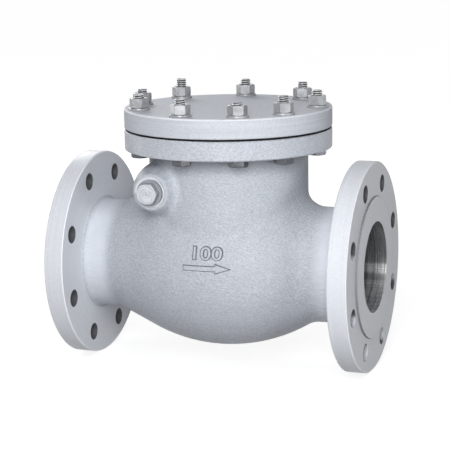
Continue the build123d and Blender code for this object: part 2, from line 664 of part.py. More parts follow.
# Disc: raised facing ring, back that falls away from the boss, and the stem through the arm
with BuildPart() as disc:
    with BuildSketch(LENGTHWISE_DOWN):
        Polygon(
            (DISC_FACE_X + DISC_FACE_RECESS, 0),
            (DISC_FACE_X + DISC_FACE_RECESS, DISC_RADIUS - DISC_FACE_WIDTH - DISC_FACE_RECESS),
            (DISC_FACE_X, DISC_RADIUS - DISC_FACE_WIDTH),
            (DISC_FACE_X, DISC_RADIUS - DISC_RIM_CHAMFER),
            (DISC_FACE_X + DISC_RIM_CHAMFER, DISC_RADIUS),
            (DISC_BACK_X - DISC_BACK_FALL - DISC_RIM_CHAMFER, DISC_RADIUS),
            (DISC_BACK_X - DISC_BACK_FALL, DISC_RADIUS - DISC_RIM_CHAMFER),
            (DISC_BACK_X, DISC_BOSS_RADIUS),
            (DISC_BACK_X + DISC_BOSS_HEIGHT, DISC_BOSS_RADIUS),
            (DISC_BACK_X + DISC_BOSS_HEIGHT, STEM_RADIUS),
            (STEM_END_X - DISC_RIM_CHAMFER, STEM_RADIUS),
            (STEM_END_X, STEM_RADIUS - DISC_RIM_CHAMFER),
            (STEM_END_X, 0),
            align=None,
        )
    revolve(axis=Axis.X)
    with BuildSketch(Plane.XY):
        with Locations((SPLIT_PIN_X, 0)):
            Circle(SPLIT_PIN_RADIUS + SPLIT_PIN_HOLE_CLEARANCE)
    extrude(amount=STEM_RADIUS, both=True, mode=Mode.SUBTRACT)
disc.part.label = "disc"
export_step(disc.part, "parts/disc.step")

with BuildPart() as disc_washer:
    with BuildSketch(along_pipe(WASHER_X)):
        Circle(WASHER_RADIUS)
        Circle(STEM_RADIUS, mode=Mode.SUBTRACT)
    extrude(amount=WASHER_THICKNESS)
disc_washer.part.label = "disc_washer"
export_step(disc_washer.part, "parts/disc_washer.step")

disc_nut_seat = along_pipe(DISC_NUT_X).location * Location((0, 0, 0), (0, 0, DISC_NUT_TURN))
with BuildPart() as disc_nut:
    with Locations(disc_nut_seat):
        add(hex_block(DISC_NUT_ACROSS_FLATS, DISC_NUT_HEIGHT, STEM_RADIUS))
    with BuildSketch(along_pipe(DISC_NUT_END_X)):
        with PolarLocations(0, 3, DISC_NUT_TURN):
            Rectangle(2 * DISC_NUT_ACROSS_FLATS, DISC_NUT_SLOT_WIDTH)
    extrude(amount=-DISC_NUT_SLOT_DEPTH, mode=Mode.SUBTRACT)
disc_nut.part.label = "disc_nut"
export_step(disc_nut.part, "parts/disc_nut.step")

# Split pin down through the slots of the nut, with a round eye and two spread legs
split_pin_half_length = DISC_NUT_ACROSS_FLATS / 2 + SPLIT_PIN_REACH
with BuildPart() as disc_split_pin:
    with BuildSketch(Plane.XY):
        with Locations((SPLIT_PIN_X, 0)):
            Circle(SPLIT_PIN_RADIUS)
    extrude(amount=split_pin_half_length, both=True)
    with Locations((SPLIT_PIN_X, 0, split_pin_half_length + SPLIT_PIN_EYE_RADIUS)):
        Torus(SPLIT_PIN_EYE_RADIUS, SPLIT_PIN_RADIUS, rotation=(0, 90, 0))
    for lean in (-1, 1):
        with Locations((SPLIT_PIN_X, 0, -split_pin_half_length)):
            Cylinder(
                SPLIT_PIN_RADIUS / 2,
                SPLIT_PIN_LEG_LENGTH,
                rotation=(lean * (180 - SPLIT_PIN_LEG_ANGLE), 0, 0),
                align=(Align.CENTER, Align.CENTER, Align.MIN),
            )
disc_split_pin.part.label = "disc_split_pin"
export_step(disc_split_pin.part, "parts/disc_split_pin.step")
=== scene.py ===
"""Looks of the flanged swing check valve: finishes, threads, raised signs, camera and studio."""

from __future__ import annotations

import logging
import math
from collections.abc import Callable
from dataclasses import dataclass, field
from enum import Enum

import bmesh
import bpy
from mathutils import Matrix, Vector
from mathutils.bvhtree import BVHTree

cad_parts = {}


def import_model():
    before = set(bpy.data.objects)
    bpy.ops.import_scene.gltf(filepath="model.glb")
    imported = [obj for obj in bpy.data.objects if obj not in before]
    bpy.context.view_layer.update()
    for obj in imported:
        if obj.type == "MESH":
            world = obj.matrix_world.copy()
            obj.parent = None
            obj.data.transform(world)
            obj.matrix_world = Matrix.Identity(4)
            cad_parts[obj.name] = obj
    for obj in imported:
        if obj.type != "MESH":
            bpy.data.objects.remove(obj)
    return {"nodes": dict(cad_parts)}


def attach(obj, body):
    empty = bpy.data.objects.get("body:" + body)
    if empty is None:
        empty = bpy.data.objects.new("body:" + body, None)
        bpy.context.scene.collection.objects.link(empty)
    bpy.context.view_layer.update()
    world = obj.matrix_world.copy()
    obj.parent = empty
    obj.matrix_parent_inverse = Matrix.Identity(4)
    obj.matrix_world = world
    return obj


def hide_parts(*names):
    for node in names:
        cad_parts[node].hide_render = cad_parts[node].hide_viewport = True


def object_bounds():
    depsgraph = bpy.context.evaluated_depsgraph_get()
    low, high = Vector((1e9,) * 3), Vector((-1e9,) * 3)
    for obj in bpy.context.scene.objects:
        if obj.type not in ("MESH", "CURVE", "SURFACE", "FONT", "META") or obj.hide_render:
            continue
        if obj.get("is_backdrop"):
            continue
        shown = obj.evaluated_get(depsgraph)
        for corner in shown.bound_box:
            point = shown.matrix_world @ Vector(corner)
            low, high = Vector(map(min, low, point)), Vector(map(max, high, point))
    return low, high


LOG = logging.getLogger("valve")
MM = 0.001
SAME_PLACE = 0.001 * MM

Colour = tuple[float, float, float, float]
Point = tuple[float, float, float]
Ring = Callable[[float], tuple[float, float]]


class Axis(Enum):
    """The axes that the valve's pieces were turned about, with a point that each passes through."""

    PIPE = (0.0, 0.0, 0.0)
    COVER = (0.180, 0.0, 0.0)
    HINGE = (0.123, 0.0, 0.090)


class StudPart(Enum):
    """The three stretches of a cover stud."""

    UPPER_END = 0
    SHANK = 1
    LOWER_END = 2

    @property
    def label(self) -> str:
        """The input's name in plain words."""
        return self.name.capitalize().replace("_", " ")


def grey(level: float, blue: float = 0.0) -> Colour:
    """A grey of one level, a little bluer by the second number."""
    return (level - blue / 2, level, level + blue, 1.0)


def towards(azimuth: float, elevation: float) -> Vector:
    """The direction to a viewpoint.

    Args:
        azimuth: degrees round from the front, towards the outlet
        elevation: degrees above the pipe axis
    Returns:
        a vector of length one
    """
    turn, rise = math.radians(azimuth), math.radians(elevation)
    return Vector((math.sin(turn) * math.cos(rise), -math.cos(turn) * math.cos(rise), math.sin(rise)))


class Graph:
    """Short words for building one node tree."""

    def __init__(self, tree: bpy.types.NodeTree) -> None:
        """Keeps the tree that the nodes go into."""
        self.tree = tree

    def feed(self, node: bpy.types.Node, inputs: dict) -> bpy.types.Node:
        """Sets a node's inputs.

        Args:
            node: the node
            inputs: a value or an output socket for each named or numbered input
        Returns:
            the node
        """
        for name, value in inputs.items():
            if isinstance(value, bpy.types.NodeSocket):
                self.tree.links.new(value, node.inputs[name])
            else:
                node.inputs[name].default_value = value
        return node

    def add(self, kind: str, inputs: dict | None = None, **settings: object) -> bpy.types.Node:
        """Adds one node.

        Args:
            kind: the node's type
            inputs: a value or an output socket for each named or numbered input
            settings: the node's own properties
        Returns:
            the new node
        """
        node = self.tree.nodes.new(kind)
        for name, value in settings.items():
            setattr(node, name, value)
        return self.feed(node, inputs or {})

    def math(self, operation: str, first: object, second: object = 0.0, clamp: bool = False) -> object:
        """One sum, product or other step of arithmetic.

        Args:
            operation: the Math node's operation
            first: value or socket
            second: value or socket
            clamp: keeps the result between 0 and 1
        Returns:
            the result's socket
        """
        inputs = {0: first, 1: second}
        return self.add("ShaderNodeMath", inputs, operation=operation, use_clamp=clamp).outputs[0]

    def total(self, *values: object) -> object:
        """The sum of several values or sockets."""
        result = values[0]
        for value in values[1:]:
            result = self.math("ADD", result, value)
        return result

    def product(self, *values: object) -> object:
        """The product of several values or sockets."""
        result = values[0]
        for value in values[1:]:
            result = self.math("MULTIPLY", result, value)
        return result

    def inverse(self, value: object) -> object:
        """One minus a value."""
        return self.math("SUBTRACT", 1.0, value)

    def weighed(self, *pairs: tuple[object, object]) -> object:
        """The sum of several values, each times its weight."""
        return self.total(*(self.product(value, weight) for value, weight in pairs))

    def mixed(self, share: float, first: object, second: object) -> object:
        """A share of one value and the rest of another."""
        return self.weighed((first, share), (second, 1.0 - share))

    def ramp(self, value: object, low: float, high: float, start: float = 0.0, end: float = 1.0) -> object:
        """A smooth step between two values of its input.

        Args:
            value: the input's socket
            low: input at which the result is start
            high: input at which the result is end
            start: first result
            end: last result
        Returns:
            the result's socket
        """
        inputs = {"Value": value, "From Min": low, "From Max": high, "To Min": start, "To Max": end}
        node = self.add("ShaderNodeMapRange", inputs, interpolation_type="SMOOTHSTEP")
        return node.outputs["Result"]

    def stretched(self, value: object, margin: float = 0.3, start: float = 0.0, end: float = 1.0) -> object:
        """Spreads a noise, which keeps to its middle, over a whole range.

        Args:
            value: the noise's socket
            margin: the share at both ends that the noise hardly reaches
            start: result at its low end
            end: result at its high end
        Returns:
            the result's socket
        """
        return self.ramp(value, margin, 1.0 - margin, start, end)

    def noise(self, vector: object, scale: object, detail: float = 2.0, roughness: float = 0.5) -> object:
        """Smooth noise from 0 to 1.

        Args:
            vector: place to read
            scale: features for each unit of length
            detail: number of finer layers
            roughness: share that each finer layer keeps
        Returns:
            the noise's socket
        """
        inputs = {"Vector": vector, "Scale": scale, "Detail": detail, "Roughness": roughness}
        return self.add("ShaderNodeTexNoise", inputs).outputs["Fac"]

    def blend(self, share: object, low: object, high: object) -> object:
        """A colour between two others."""
        return self.add("ShaderNodeMix", {0: share, 6: low, 7: high}, data_type="RGBA").outputs[2]

    def split(self, vector: object) -> tuple[object, object, object]:
        """The three parts of a vector."""
        parts = self.add("ShaderNodeSeparateXYZ", {"Vector": vector})
        return parts.outputs[0], parts.outputs[1], parts.outputs[2]

    def join(self, x: object, y: object, z: object) -> object:
        """A vector from its three parts."""
        return self.add("ShaderNodeCombineXYZ", {0: x, 1: y, 2: z}).outputs[0]

    def length(self, first: object, second: object) -> object:
        """The distance that two square parts make."""
        squares = self.total(self.math("POWER", first, 2.0), self.math("POWER", second, 2.0))
        return self.math("SQRT", squares)


class EffectGroup:
    """A shader node group that several finishes share."""

    name = "Effect"
    inputs: dict[str, tuple[str, float | None]] = {}
    outputs: tuple[str, ...] = ()

    def __init__(self) -> None:
        """Makes the group's sockets and lets the subclass fill it."""
        self.tree = bpy.data.node_groups.new(self.name, "ShaderNodeTree")
        for label, (kind, start) in self.inputs.items():
            socket = self.tree.interface.new_socket(label, in_out="INPUT", socket_type=kind)
            if start is not None:
                socket.default_value = start
        for label in self.outputs:
            self.tree.interface.new_socket(label, in_out="OUTPUT", socket_type="NodeSocketFloat")
        graph = Graph(self.tree)
        results = self.fill(graph, graph.add("NodeGroupInput").outputs)
        graph.add("NodeGroupOutput", results)

    def fill(self, graph: Graph, given: bpy.types.NodeOutputs) -> dict[str, object]:
        """Builds the effect.

        Args:
            graph: the group's tree
            given: the group's input sockets
        Returns:
            a socket for each output's name
        """
        raise NotImplementedError

    def place(self, graph: Graph, **inputs: object) -> bpy.types.NodeOutputs:
        """Puts the group into a finish.

        Args:
            graph: the finish's tree
            inputs: a value or socket for each input
        Returns:
            the group's outputs there
        """
        return graph.add("ShaderNodeGroup", inputs, node_tree=self.tree).outputs


class CastSkin(EffectGroup):
    """The pebbled skin that a sand mould leaves, still there under its paint."""

    name = "Cast skin"
    inputs = {
        "Place": ("NodeSocketVector", None),
        "Grain": ("NodeSocketFloat", 1.4 * MM),
        "Depth": ("NodeSocketFloat", 0.12 * MM),
    }
    outputs = ("Height", "Mottle", "Speckle")
    lump_grains = 4.0
    lump_share = 1.6
    mottle_grains = 9.0
    flatness = 2.6

    def fill(self, graph: Graph, given: bpy.types.NodeOutputs) -> dict[str, object]:
        """Fine, flattened pebbles on broad lumps; heights are in metres."""
        scale = graph.math("DIVIDE", 1.0, given["Grain"])
        x, y, z = graph.split(given["Place"])
        flat = graph.join(x, y, graph.product(z, self.flatness))
        pebbles = graph.noise(flat, scale, detail=1.5, roughness=0.6)
        lumps = graph.noise(flat, graph.math("DIVIDE", scale, self.lump_grains))
        mottle = graph.noise(given["Place"], graph.math("DIVIDE", scale, self.mottle_grains), detail=3.0)
        relief = graph.total(pebbles, graph.product(lumps, self.lump_share))
        speckle = graph.stretched(pebbles)
        return {"Height": graph.product(relief, given["Depth"]), "Mottle": mottle, "Speckle": speckle}


class TurningMarks(EffectGroup):
    """The fine rings that a lathe leaves around the axis that a piece was turned about."""

    name = "Turning marks"
    inputs = {
        "Place": ("NodeSocketVector", None),
        "Pitch": ("NodeSocketFloat", 0.8 * MM),
        "Depth": ("NodeSocketFloat", 0.02 * MM),
    }
    outputs = ("Height", "Streak", "Radius")
    drift = 0.7
    streak_pitches = 2.6
    least_radius = 0.1 * MM

    def fill(self, graph: Graph, given: bpy.types.NodeOutputs) -> dict[str, object]:
        """Noise that changes fast outwards and along the axis, and slowly around it."""
        x, y, along = graph.split(given["Place"])
        radius = graph.math("MAXIMUM", graph.length(x, y), self.least_radius)
        reach = graph.total(radius, along)
        side = graph.product(graph.math("DIVIDE", x, radius), self.drift)
        height = graph.product(graph.math("DIVIDE", y, radius), self.drift)
        fine = graph.join(graph.math("DIVIDE", reach, given["Pitch"]), side, height)
        broad_reach = graph.math("DIVIDE", reach, graph.product(given["Pitch"], self.streak_pitches))
        broad = graph.join(broad_reach, side, height)
        lines = graph.noise(fine, 1.0, detail=1.0)
        streak = graph.noise(broad, 1.0, detail=3.0, roughness=0.65)
        return {"Height": graph.product(lines, given["Depth"]), "Streak": streak, "Radius": radius}


class ToneDrift(EffectGroup):
    """Slow changes of tone, as from handling, thin paint and dust."""

    name = "Tone drift"
    inputs = {"Place": ("NodeSocketVector", None), "Size": ("NodeSocketFloat", 40 * MM)}
    outputs = ("Tone",)
    finer_times = 6.0
    wide_share = 0.6
    margin = 0.25

    def fill(self, graph: Graph, given: bpy.types.NodeOutputs) -> dict[str, object]:
        """Two layers of soft noise around one."""
        scale = graph.math("DIVIDE", 1.0, given["Size"])
        wide = graph.noise(given["Place"], scale)
        fine = graph.noise(given["Place"], graph.product(scale, self.finer_times), detail=3.0, roughness=0.6)
        share = graph.mixed(self.wide_share, wide, fine)
        return {"Tone": graph.stretched(share, self.margin)}


@dataclass(frozen=True)
class Effects:
    """The shared groups, built once."""

    skin: CastSkin = field(default_factory=CastSkin)
    turning: TurningMarks = field(default_factory=TurningMarks)
    drift: ToneDrift = field(default_factory=ToneDrift)


class Surface:
    """One material on its way: its graph, the place on the piece and its shader."""

    sheen = 0.2
    roughness_margin = 0.25

    def __init__(self, name: str, effects: Effects) -> None:
        """Starts a material with its Principled shader.

        Args:
            name: the material's name
            effects: the shared groups
        """
        self.material = bpy.data.materials.new(name)
        self.material.use_nodes = True
        self.graph = Graph(self.material.node_tree)
        self.shader = self.material.node_tree.nodes["Principled BSDF"]
        self.effects = effects
        self.place = self.graph.add("ShaderNodeTexCoord").outputs["Object"]
        self.x, self.y, self.z = self.graph.split(self.place)

    def about(self, axis: Axis) -> object:
        """The place with a turning axis as its third direction.

        Args:
            axis: the axis that the piece was turned about
        Returns:
            the turned place's socket
        """
        graph = self.graph
        if axis is Axis.PIPE:
            return graph.join(self.y, self.z, self.x)
        x = graph.math("SUBTRACT", self.x, axis.value[0])
        if axis is Axis.COVER:
            return graph.join(x, self.y, self.z)
        return graph.join(x, graph.math("SUBTRACT", self.z, axis.value[2]), self.y)

    def drift(self, size: float) -> object:
        """The slow tone of the shared group, for spots of one size."""
        return self.effects.drift.place(self.graph, Place=self.place, Size=size)["Tone"]

    def roughness(self, share: object, smooth: float, rough: float) -> object:
        """A roughness between two levels, as a noise goes."""
        return self.graph.stretched(share, self.roughness_margin, smooth, rough)

    def finish(self, colour: object, roughness: object, height: object, metallic: object) -> None:
        """Links the shader's inputs.

        Args:
            colour: base colour
            roughness: value or socket
            height: relief in metres
            metallic: value or socket
        """
        bump = self.graph.add("ShaderNodeBump", {"Height": height, "Distance": 1.0, "Strength": 1.0})
        inputs = {
            "Base Color": colour,
            "Roughness": roughness,
            "Metallic": metallic,
            "Specular IOR Level": self.sheen,
            "Normal": bump.outputs["Normal"],
        }
        self.graph.feed(self.shader, inputs)


@dataclass(frozen=True)
class CastingFinish:
    """Silver paint over the body: pebbled where cast, ringed where turned, bare in the bore."""

    # Paint as cast and as turned, and the lighter tone of the painted highlight on the hubs
    paint: Colour = grey(0.60, 0.06)
    paint_shade: Colour = grey(0.39, 0.045)
    turned: Colour = grey(0.72, 0.05)
    turned_shade: Colour = grey(0.63, 0.045)
    hub_highlight: Colour = grey(0.69, 0.06)
    hub_highlight_dim: Colour = grey(0.57, 0.055)
    boss_mark: Colour = grey(0.40, 0.035)
    boss_mark_range: tuple[float, float] = (0.35, 0.6)
    cast_roughness: tuple[float, float] = (0.44, 0.52)
    turned_roughness: tuple[float, float] = (0.34, 0.46)
    roughness_patch: float = 60 * MM
    speckle_share: float = 0.75
    streak_share: float = 0.45
    grain: float = 2.4 * MM
    skin_depth: float = 0.5 * MM
    ring_pitch: float = 0.7 * MM
    ring_depth: float = 0.03 * MM
    edge: float = 0.4 * MM

    # Pipe flanges, with a painted highlight along their edges and painted shade in the corner round the
    # raised face
    body_length: float = 350 * MM
    flange_back: float = 23.9 * MM
    flange_radius: float = 117.25 * MM
    flange_chamfer: float = 1.2 * MM
    raised_height: float = 2 * MM
    raised_radius: float = 78.6 * MM
    corner_width: float = 1.3 * MM
    edge_highlight: Colour = grey(0.9, 0.03)
    # Painted shade colour, for the corner round the raised face and the neck under the cover flange
    corner: Colour = grey(0.22, 0.02)

    # Bolt holes of the pipe flanges: bare metal, darkened by painted shade
    hole_shade: Colour = grey(0.13, 0.008)
    hole_metal: float = 0.35
    hole_circle: float = 95.25 * MM
    hole_radius: float = 9.75 * MM
    hole_count: int = 8

    # Bore, with its painted highlight bands
    bare: Colour = grey(0.43, 0.01)
    bore_highlight: Colour = grey(0.98, 0.012)
    bore_radius: float = 51 * MM
    bore_metal: float = 0.95
    bore_polish: float = 0.12
    bore_highlight_low: float = -20 * MM
    bore_highlight_high: float = -5 * MM
    bore_highlight_side: float = 5 * MM
    bore_highlight_floor: float = -28 * MM
    bore_highlight_along: float = 12.0
    bore_highlight_across: float = 900.0
    bore_highlight_breakup_range: tuple[float, float] = (0.2, 0.6)

    # Hubs with a painted highlight, painted shade on the neck under the cover flange, and faced hinge bosses
    hub_start: float = 30 * MM
    hub_end: float = 44 * MM
    hub_fade: float = 18 * MM
    cover_flange_low: float = 129 * MM
    flange_shade_low: float = 103 * MM
    flange_shade_share: float = 0.9
    boss_face: float = 97 * MM
    boss_radius: float = 20 * MM

    def within(self, graph: Graph, value: object, limit: float) -> object:
        """Mask of what lies within a limit, fading past it."""
        return graph.ramp(value, limit + self.edge, limit)

    def beyond(self, graph: Graph, value: object, limit: float) -> object:
        """Mask of what lies beyond a limit, fading before it."""
        return graph.ramp(value, limit - self.edge, limit)

    def from_end(self, surface: Surface) -> object:
        """The distance along the pipe from the nearer end of the body."""
        graph = surface.graph
        return graph.math("MINIMUM", surface.x, graph.math("SUBTRACT", self.body_length, surface.x))

    def flange_zone(self, surface: Surface) -> object:
        """Mask of both turned pipe flanges."""
        return self.within(surface.graph, self.from_end(surface), self.flange_back)

    def edge_highlight_zone(self, surface: Surface, radius: object) -> object:
        """Mask of the four outer edges of the pipe flanges, where a highlight is painted."""
        graph = surface.graph
        depth = self.from_end(surface)
        front = graph.ramp(depth, self.raised_height + self.flange_chamfer, self.raised_height)
        back = graph.ramp(depth, self.flange_back - self.flange_chamfer, self.flange_back)
        out = self.beyond(graph, radius, self.flange_radius - self.flange_chamfer)
        out = graph.product(out, self.flange_zone(surface))
        return graph.product(graph.math("MAXIMUM", front, back), out)

    def corner_shade_zone(self, surface: Surface, radius: object) -> object:
        """Mask of the corner round the raised face of both ends, where shade is painted."""
        graph = surface.graph
        out = graph.ramp(radius, self.raised_radius + self.corner_width, self.raised_radius + self.edge)
        past = self.beyond(graph, radius, self.raised_radius)
        in_front = graph.ramp(self.from_end(surface), 2.0 * self.raised_height, self.raised_height)
        return graph.product(out, in_front, past)

    def bore_highlight_zone(self, surface: Surface) -> object:
        """Mask of the painted highlight bands along the bore, low in it."""
        graph = surface.graph
        band = graph.product(
            graph.ramp(surface.z, self.bore_highlight_low, self.bore_highlight_low + self.bore_highlight_side),
            graph.ramp(surface.z, self.bore_highlight_high, self.bore_highlight_high - self.bore_highlight_side),
        )
        floor = graph.ramp(surface.z, self.bore_highlight_floor + self.bore_highlight_side, self.bore_highlight_floor)
        along = graph.product(surface.x, self.bore_highlight_along)
        grain = graph.join(along, surface.y, graph.product(surface.z, self.bore_highlight_across))
        highlight_breakup = graph.ramp(graph.noise(grain, 1.0), *self.bore_highlight_breakup_range)
        return graph.product(graph.math("MAXIMUM", band, floor), highlight_breakup)

    def hub_highlight_zone(self, surface: Surface) -> object:
        """Mask of the hubs behind both pipe flanges, where a lighter tone is painted as highlight."""
        graph = surface.graph
        depth = self.from_end(surface)
        near = graph.ramp(depth, self.hub_start - self.hub_fade / 3, self.hub_start)
        return graph.product(near, graph.ramp(depth, self.hub_end + self.hub_fade, self.hub_end))

    def flange_shade_zone(self, surface: Surface) -> object:
        """Mask of the painted shade on the neck, right under the cover flange."""
        graph = surface.graph
        high = graph.ramp(surface.z, self.flange_shade_low, self.cover_flange_low, 0.0, self.flange_shade_share)
        under = graph.ramp(surface.z, self.cover_flange_low, self.cover_flange_low - self.edge)
        return graph.product(high, under)

    def hole_zone(self, surface: Surface) -> object:
        """Mask of the bolt holes of both pipe flanges, cut by a drill."""
        graph = surface.graph
        share = 2.0 * math.pi / self.hole_count
        angle = graph.math("ARCTAN2", surface.z, surface.y)
        turned = graph.math("SUBTRACT", graph.math("PINGPONG", angle, share / 2), share / 2)
        radius = graph.length(surface.y, surface.z)
        out = graph.math("SUBTRACT", graph.product(radius, graph.math("COSINE", turned)), self.hole_circle)
        across = graph.product(radius, graph.math("SINE", turned))
        hole = self.within(graph, graph.length(out, across), self.hole_radius)
        return graph.product(hole, self.flange_zone(surface))

    def boss_zone(self, surface: Surface, hinge_radius: object) -> object:
        """Mask of the faced ends of both hinge bosses."""
        graph = surface.graph
        out = self.beyond(graph, graph.math("ABSOLUTE", surface.y), self.boss_face)
        return graph.product(out, self.within(graph, hinge_radius, self.boss_radius))

    def rings(self, surface: Surface, axis: Axis) -> bpy.types.NodeOutputs:
        """The turning marks about one axis.

        Args:
            surface: the material on its way
            axis: the axis that the marks run round
        Returns:
            the marks' outputs
        """
        turning = surface.effects.turning
        place = surface.about(axis)
        return turning.place(surface.graph, Place=place, Pitch=self.ring_pitch, Depth=self.ring_depth)

    def build(self, name: str, effects: Effects) -> bpy.types.Material:
        """The body's material.

        Args:
            name: the material's name
            effects: the shared groups
        Returns:
            the material
        """
        surface = Surface(name, effects)
        graph = surface.graph
        skin = effects.skin.place(graph, Place=surface.place, Grain=self.grain, Depth=self.skin_depth)
        pipe, cover, hinge = (self.rings(surface, axis) for axis in (Axis.PIPE, Axis.COVER, Axis.HINGE))

        flange = self.flange_zone(surface)
        rim = self.beyond(graph, surface.z, self.cover_flange_low)
        boss = self.boss_zone(surface, hinge["Radius"])
        bore = self.within(graph, pipe["Radius"], self.bore_radius)
        holes = self.hole_zone(surface)
        piped = graph.math("MAXIMUM", flange, bore)
        machined = graph.math("MAXIMUM", graph.math("MAXIMUM", piped, rim), boss)

        rings = graph.weighed((pipe["Height"], flange), (cover["Height"], rim), (hinge["Height"], boss))
        streak = graph.weighed((pipe["Streak"], piped), (cover["Streak"], rim), (hinge["Streak"], boss))
        height = graph.total(graph.product(skin["Height"], graph.inverse(machined)), rings)

        patch = graph.mixed(self.speckle_share, skin["Speckle"], skin["Mottle"])
        paint = graph.blend(patch, self.paint_shade, self.paint)
        # Painted highlight on the hubs: a lighter tone there
        smooth = graph.blend(skin["Mottle"], self.hub_highlight_dim, self.hub_highlight)
        paint = graph.blend(self.hub_highlight_zone(surface), paint, smooth)
        # Painted shade on the neck under the cover flange
        flange_shade = graph.product(self.flange_shade_zone(surface), graph.inverse(boss))
        paint = graph.blend(flange_shade, paint, self.corner)

        share = graph.mixed(self.streak_share, graph.stretched(streak), skin["Speckle"])
        turned = graph.blend(share, self.turned_shade, self.turned)
        marks = graph.ramp(hinge["Streak"], *self.boss_mark_range)
        faced = graph.blend(marks, self.boss_mark, self.turned)
        turned = graph.blend(boss, turned, faced)
        # Bare bore with painted highlight bands
        bare_and_highlight = graph.blend(self.bore_highlight_zone(surface), self.bare, self.bore_highlight)

        colour = graph.blend(graph.product(machined, graph.inverse(rim)), paint, turned)
        # Painted shade in the corner round the raised face
        colour = graph.blend(self.corner_shade_zone(surface, pipe["Radius"]), colour, self.corner)
        # Painted highlight along the flange edges
        colour = graph.blend(self.edge_highlight_zone(surface, pipe["Radius"]), colour, self.edge_highlight)
        colour = graph.blend(bore, colour, bare_and_highlight)
        # Bolt holes: bare metal, darkened by painted shade
        colour = graph.blend(holes, colour, self.hole_shade)

        cast = graph.ramp(surface.drift(self.roughness_patch), 0.0, 1.0, *self.cast_roughness)
        lathed = surface.roughness(streak, *self.turned_roughness)
        roughness = graph.weighed((cast, graph.inverse(machined)), (lathed, machined))
        roughness = graph.math("SUBTRACT", roughness, graph.product(bore, self.bore_polish))
        metal = graph.weighed((bore, self.bore_metal), (holes, self.hole_metal))
        surface.finish(colour, roughness, height, metal)
        return surface.material


@dataclass(frozen=True)
class TurnedFinish:
    """Steel turned on a lathe, painted or bare."""

    axis: Axis
    light: Colour
    dark: Colour
    metallic: float
    smooth: float
    rough: float
    pitch: float = 0.7 * MM
    depth: float = 0.02 * MM
    grain: float = 2.4 * MM
    ringed: float = 0.4

    # Painted highlight along the upper edge, where the piece has one
    edge_highlight: Colour = grey(0.9, 0.03)
    highlight_radius: float = 0.0
    highlight_height: float = 0.0
    highlight_width: float = 1.4 * MM

    # End faces this far from the pipe axis; the flanks behind them are darkened by painted shade
    face: float = 0.0
    face_edge: float = 0.5 * MM
    flank: Colour = grey(0.3, 0.025)

    def edge_highlight_zone(self, surface: Surface, radius: object) -> object:
        """Mask of the upper edge, where a highlight is painted."""
        graph = surface.graph
        inner = self.highlight_radius - self.highlight_width
        low = self.highlight_height - self.highlight_width
        out = graph.ramp(radius, inner - self.highlight_width / 2, inner)
        return graph.product(out, graph.ramp(surface.z, low - self.highlight_width / 2, low))

    def build(self, name: str, effects: Effects) -> bpy.types.Material:
        """The material with rings about its axis.

        Args:
            name: the material's name
            effects: the shared groups
        Returns:
            the material
        """
        surface = Surface(name, effects)
        graph = surface.graph
        about = surface.about(self.axis)
        rings = effects.turning.place(graph, Place=about, Pitch=self.pitch, Depth=self.depth)
        skin = effects.skin.place(graph, Place=surface.place, Grain=self.grain, Depth=0.0)
        share = graph.mixed(self.ringed, rings["Streak"], skin["Speckle"])
        colour = graph.blend(graph.stretched(share), self.dark, self.light)
        # Painted shade on the flanks behind the end face
        if self.face:
            out = graph.ramp(graph.math("ABSOLUTE", surface.y), self.face - self.face_edge, self.face)
            colour = graph.blend(out, self.flank, colour)
        # Painted highlight along the upper edge
        if self.highlight_radius:
            colour = graph.blend(self.edge_highlight_zone(surface, rings["Radius"]), colour, self.edge_highlight)
        roughness = surface.roughness(share, self.smooth, self.rough)
        surface.finish(colour, roughness, rings["Height"], self.metallic)
        return surface.material


@dataclass(frozen=True)
class PlainFinish:
    """A rolled, forged or moulded surface with a fine skin."""

    light: Colour
    dark: Colour
    metallic: float
    smooth: float
    rough: float
    grain: float = 0.8 * MM
    depth: float = 0.02 * MM
    patch: float = 12 * MM
    mottle_share: float = 0.5
    root: Colour | None = None
    root_margin: float = 0.2

    def build(self, name: str, effects: Effects) -> bpy.types.Material:
        """The material with a fine skin all over, darker in the roots of a thread.

        Args:
            name: the material's name
            effects: the shared groups
        Returns:
            the material
        """
        surface = Surface(name, effects)
        graph = surface.graph
        skin = effects.skin.place(graph, Place=surface.place, Grain=self.grain, Depth=self.depth)
        share = graph.mixed(self.mottle_share, skin["Mottle"], surface.drift(self.patch))
        colour = graph.blend(graph.stretched(share), self.dark, self.light)
        if self.root:
            groove = graph.add("ShaderNodeAttribute", attribute_name="groove").outputs["Fac"]
            colour = graph.blend(graph.stretched(groove, self.root_margin), colour, self.root)
        roughness = surface.roughness(share, self.smooth, self.rough)
        surface.finish(colour, roughness, skin["Height"], self.metallic)
        return surface.material


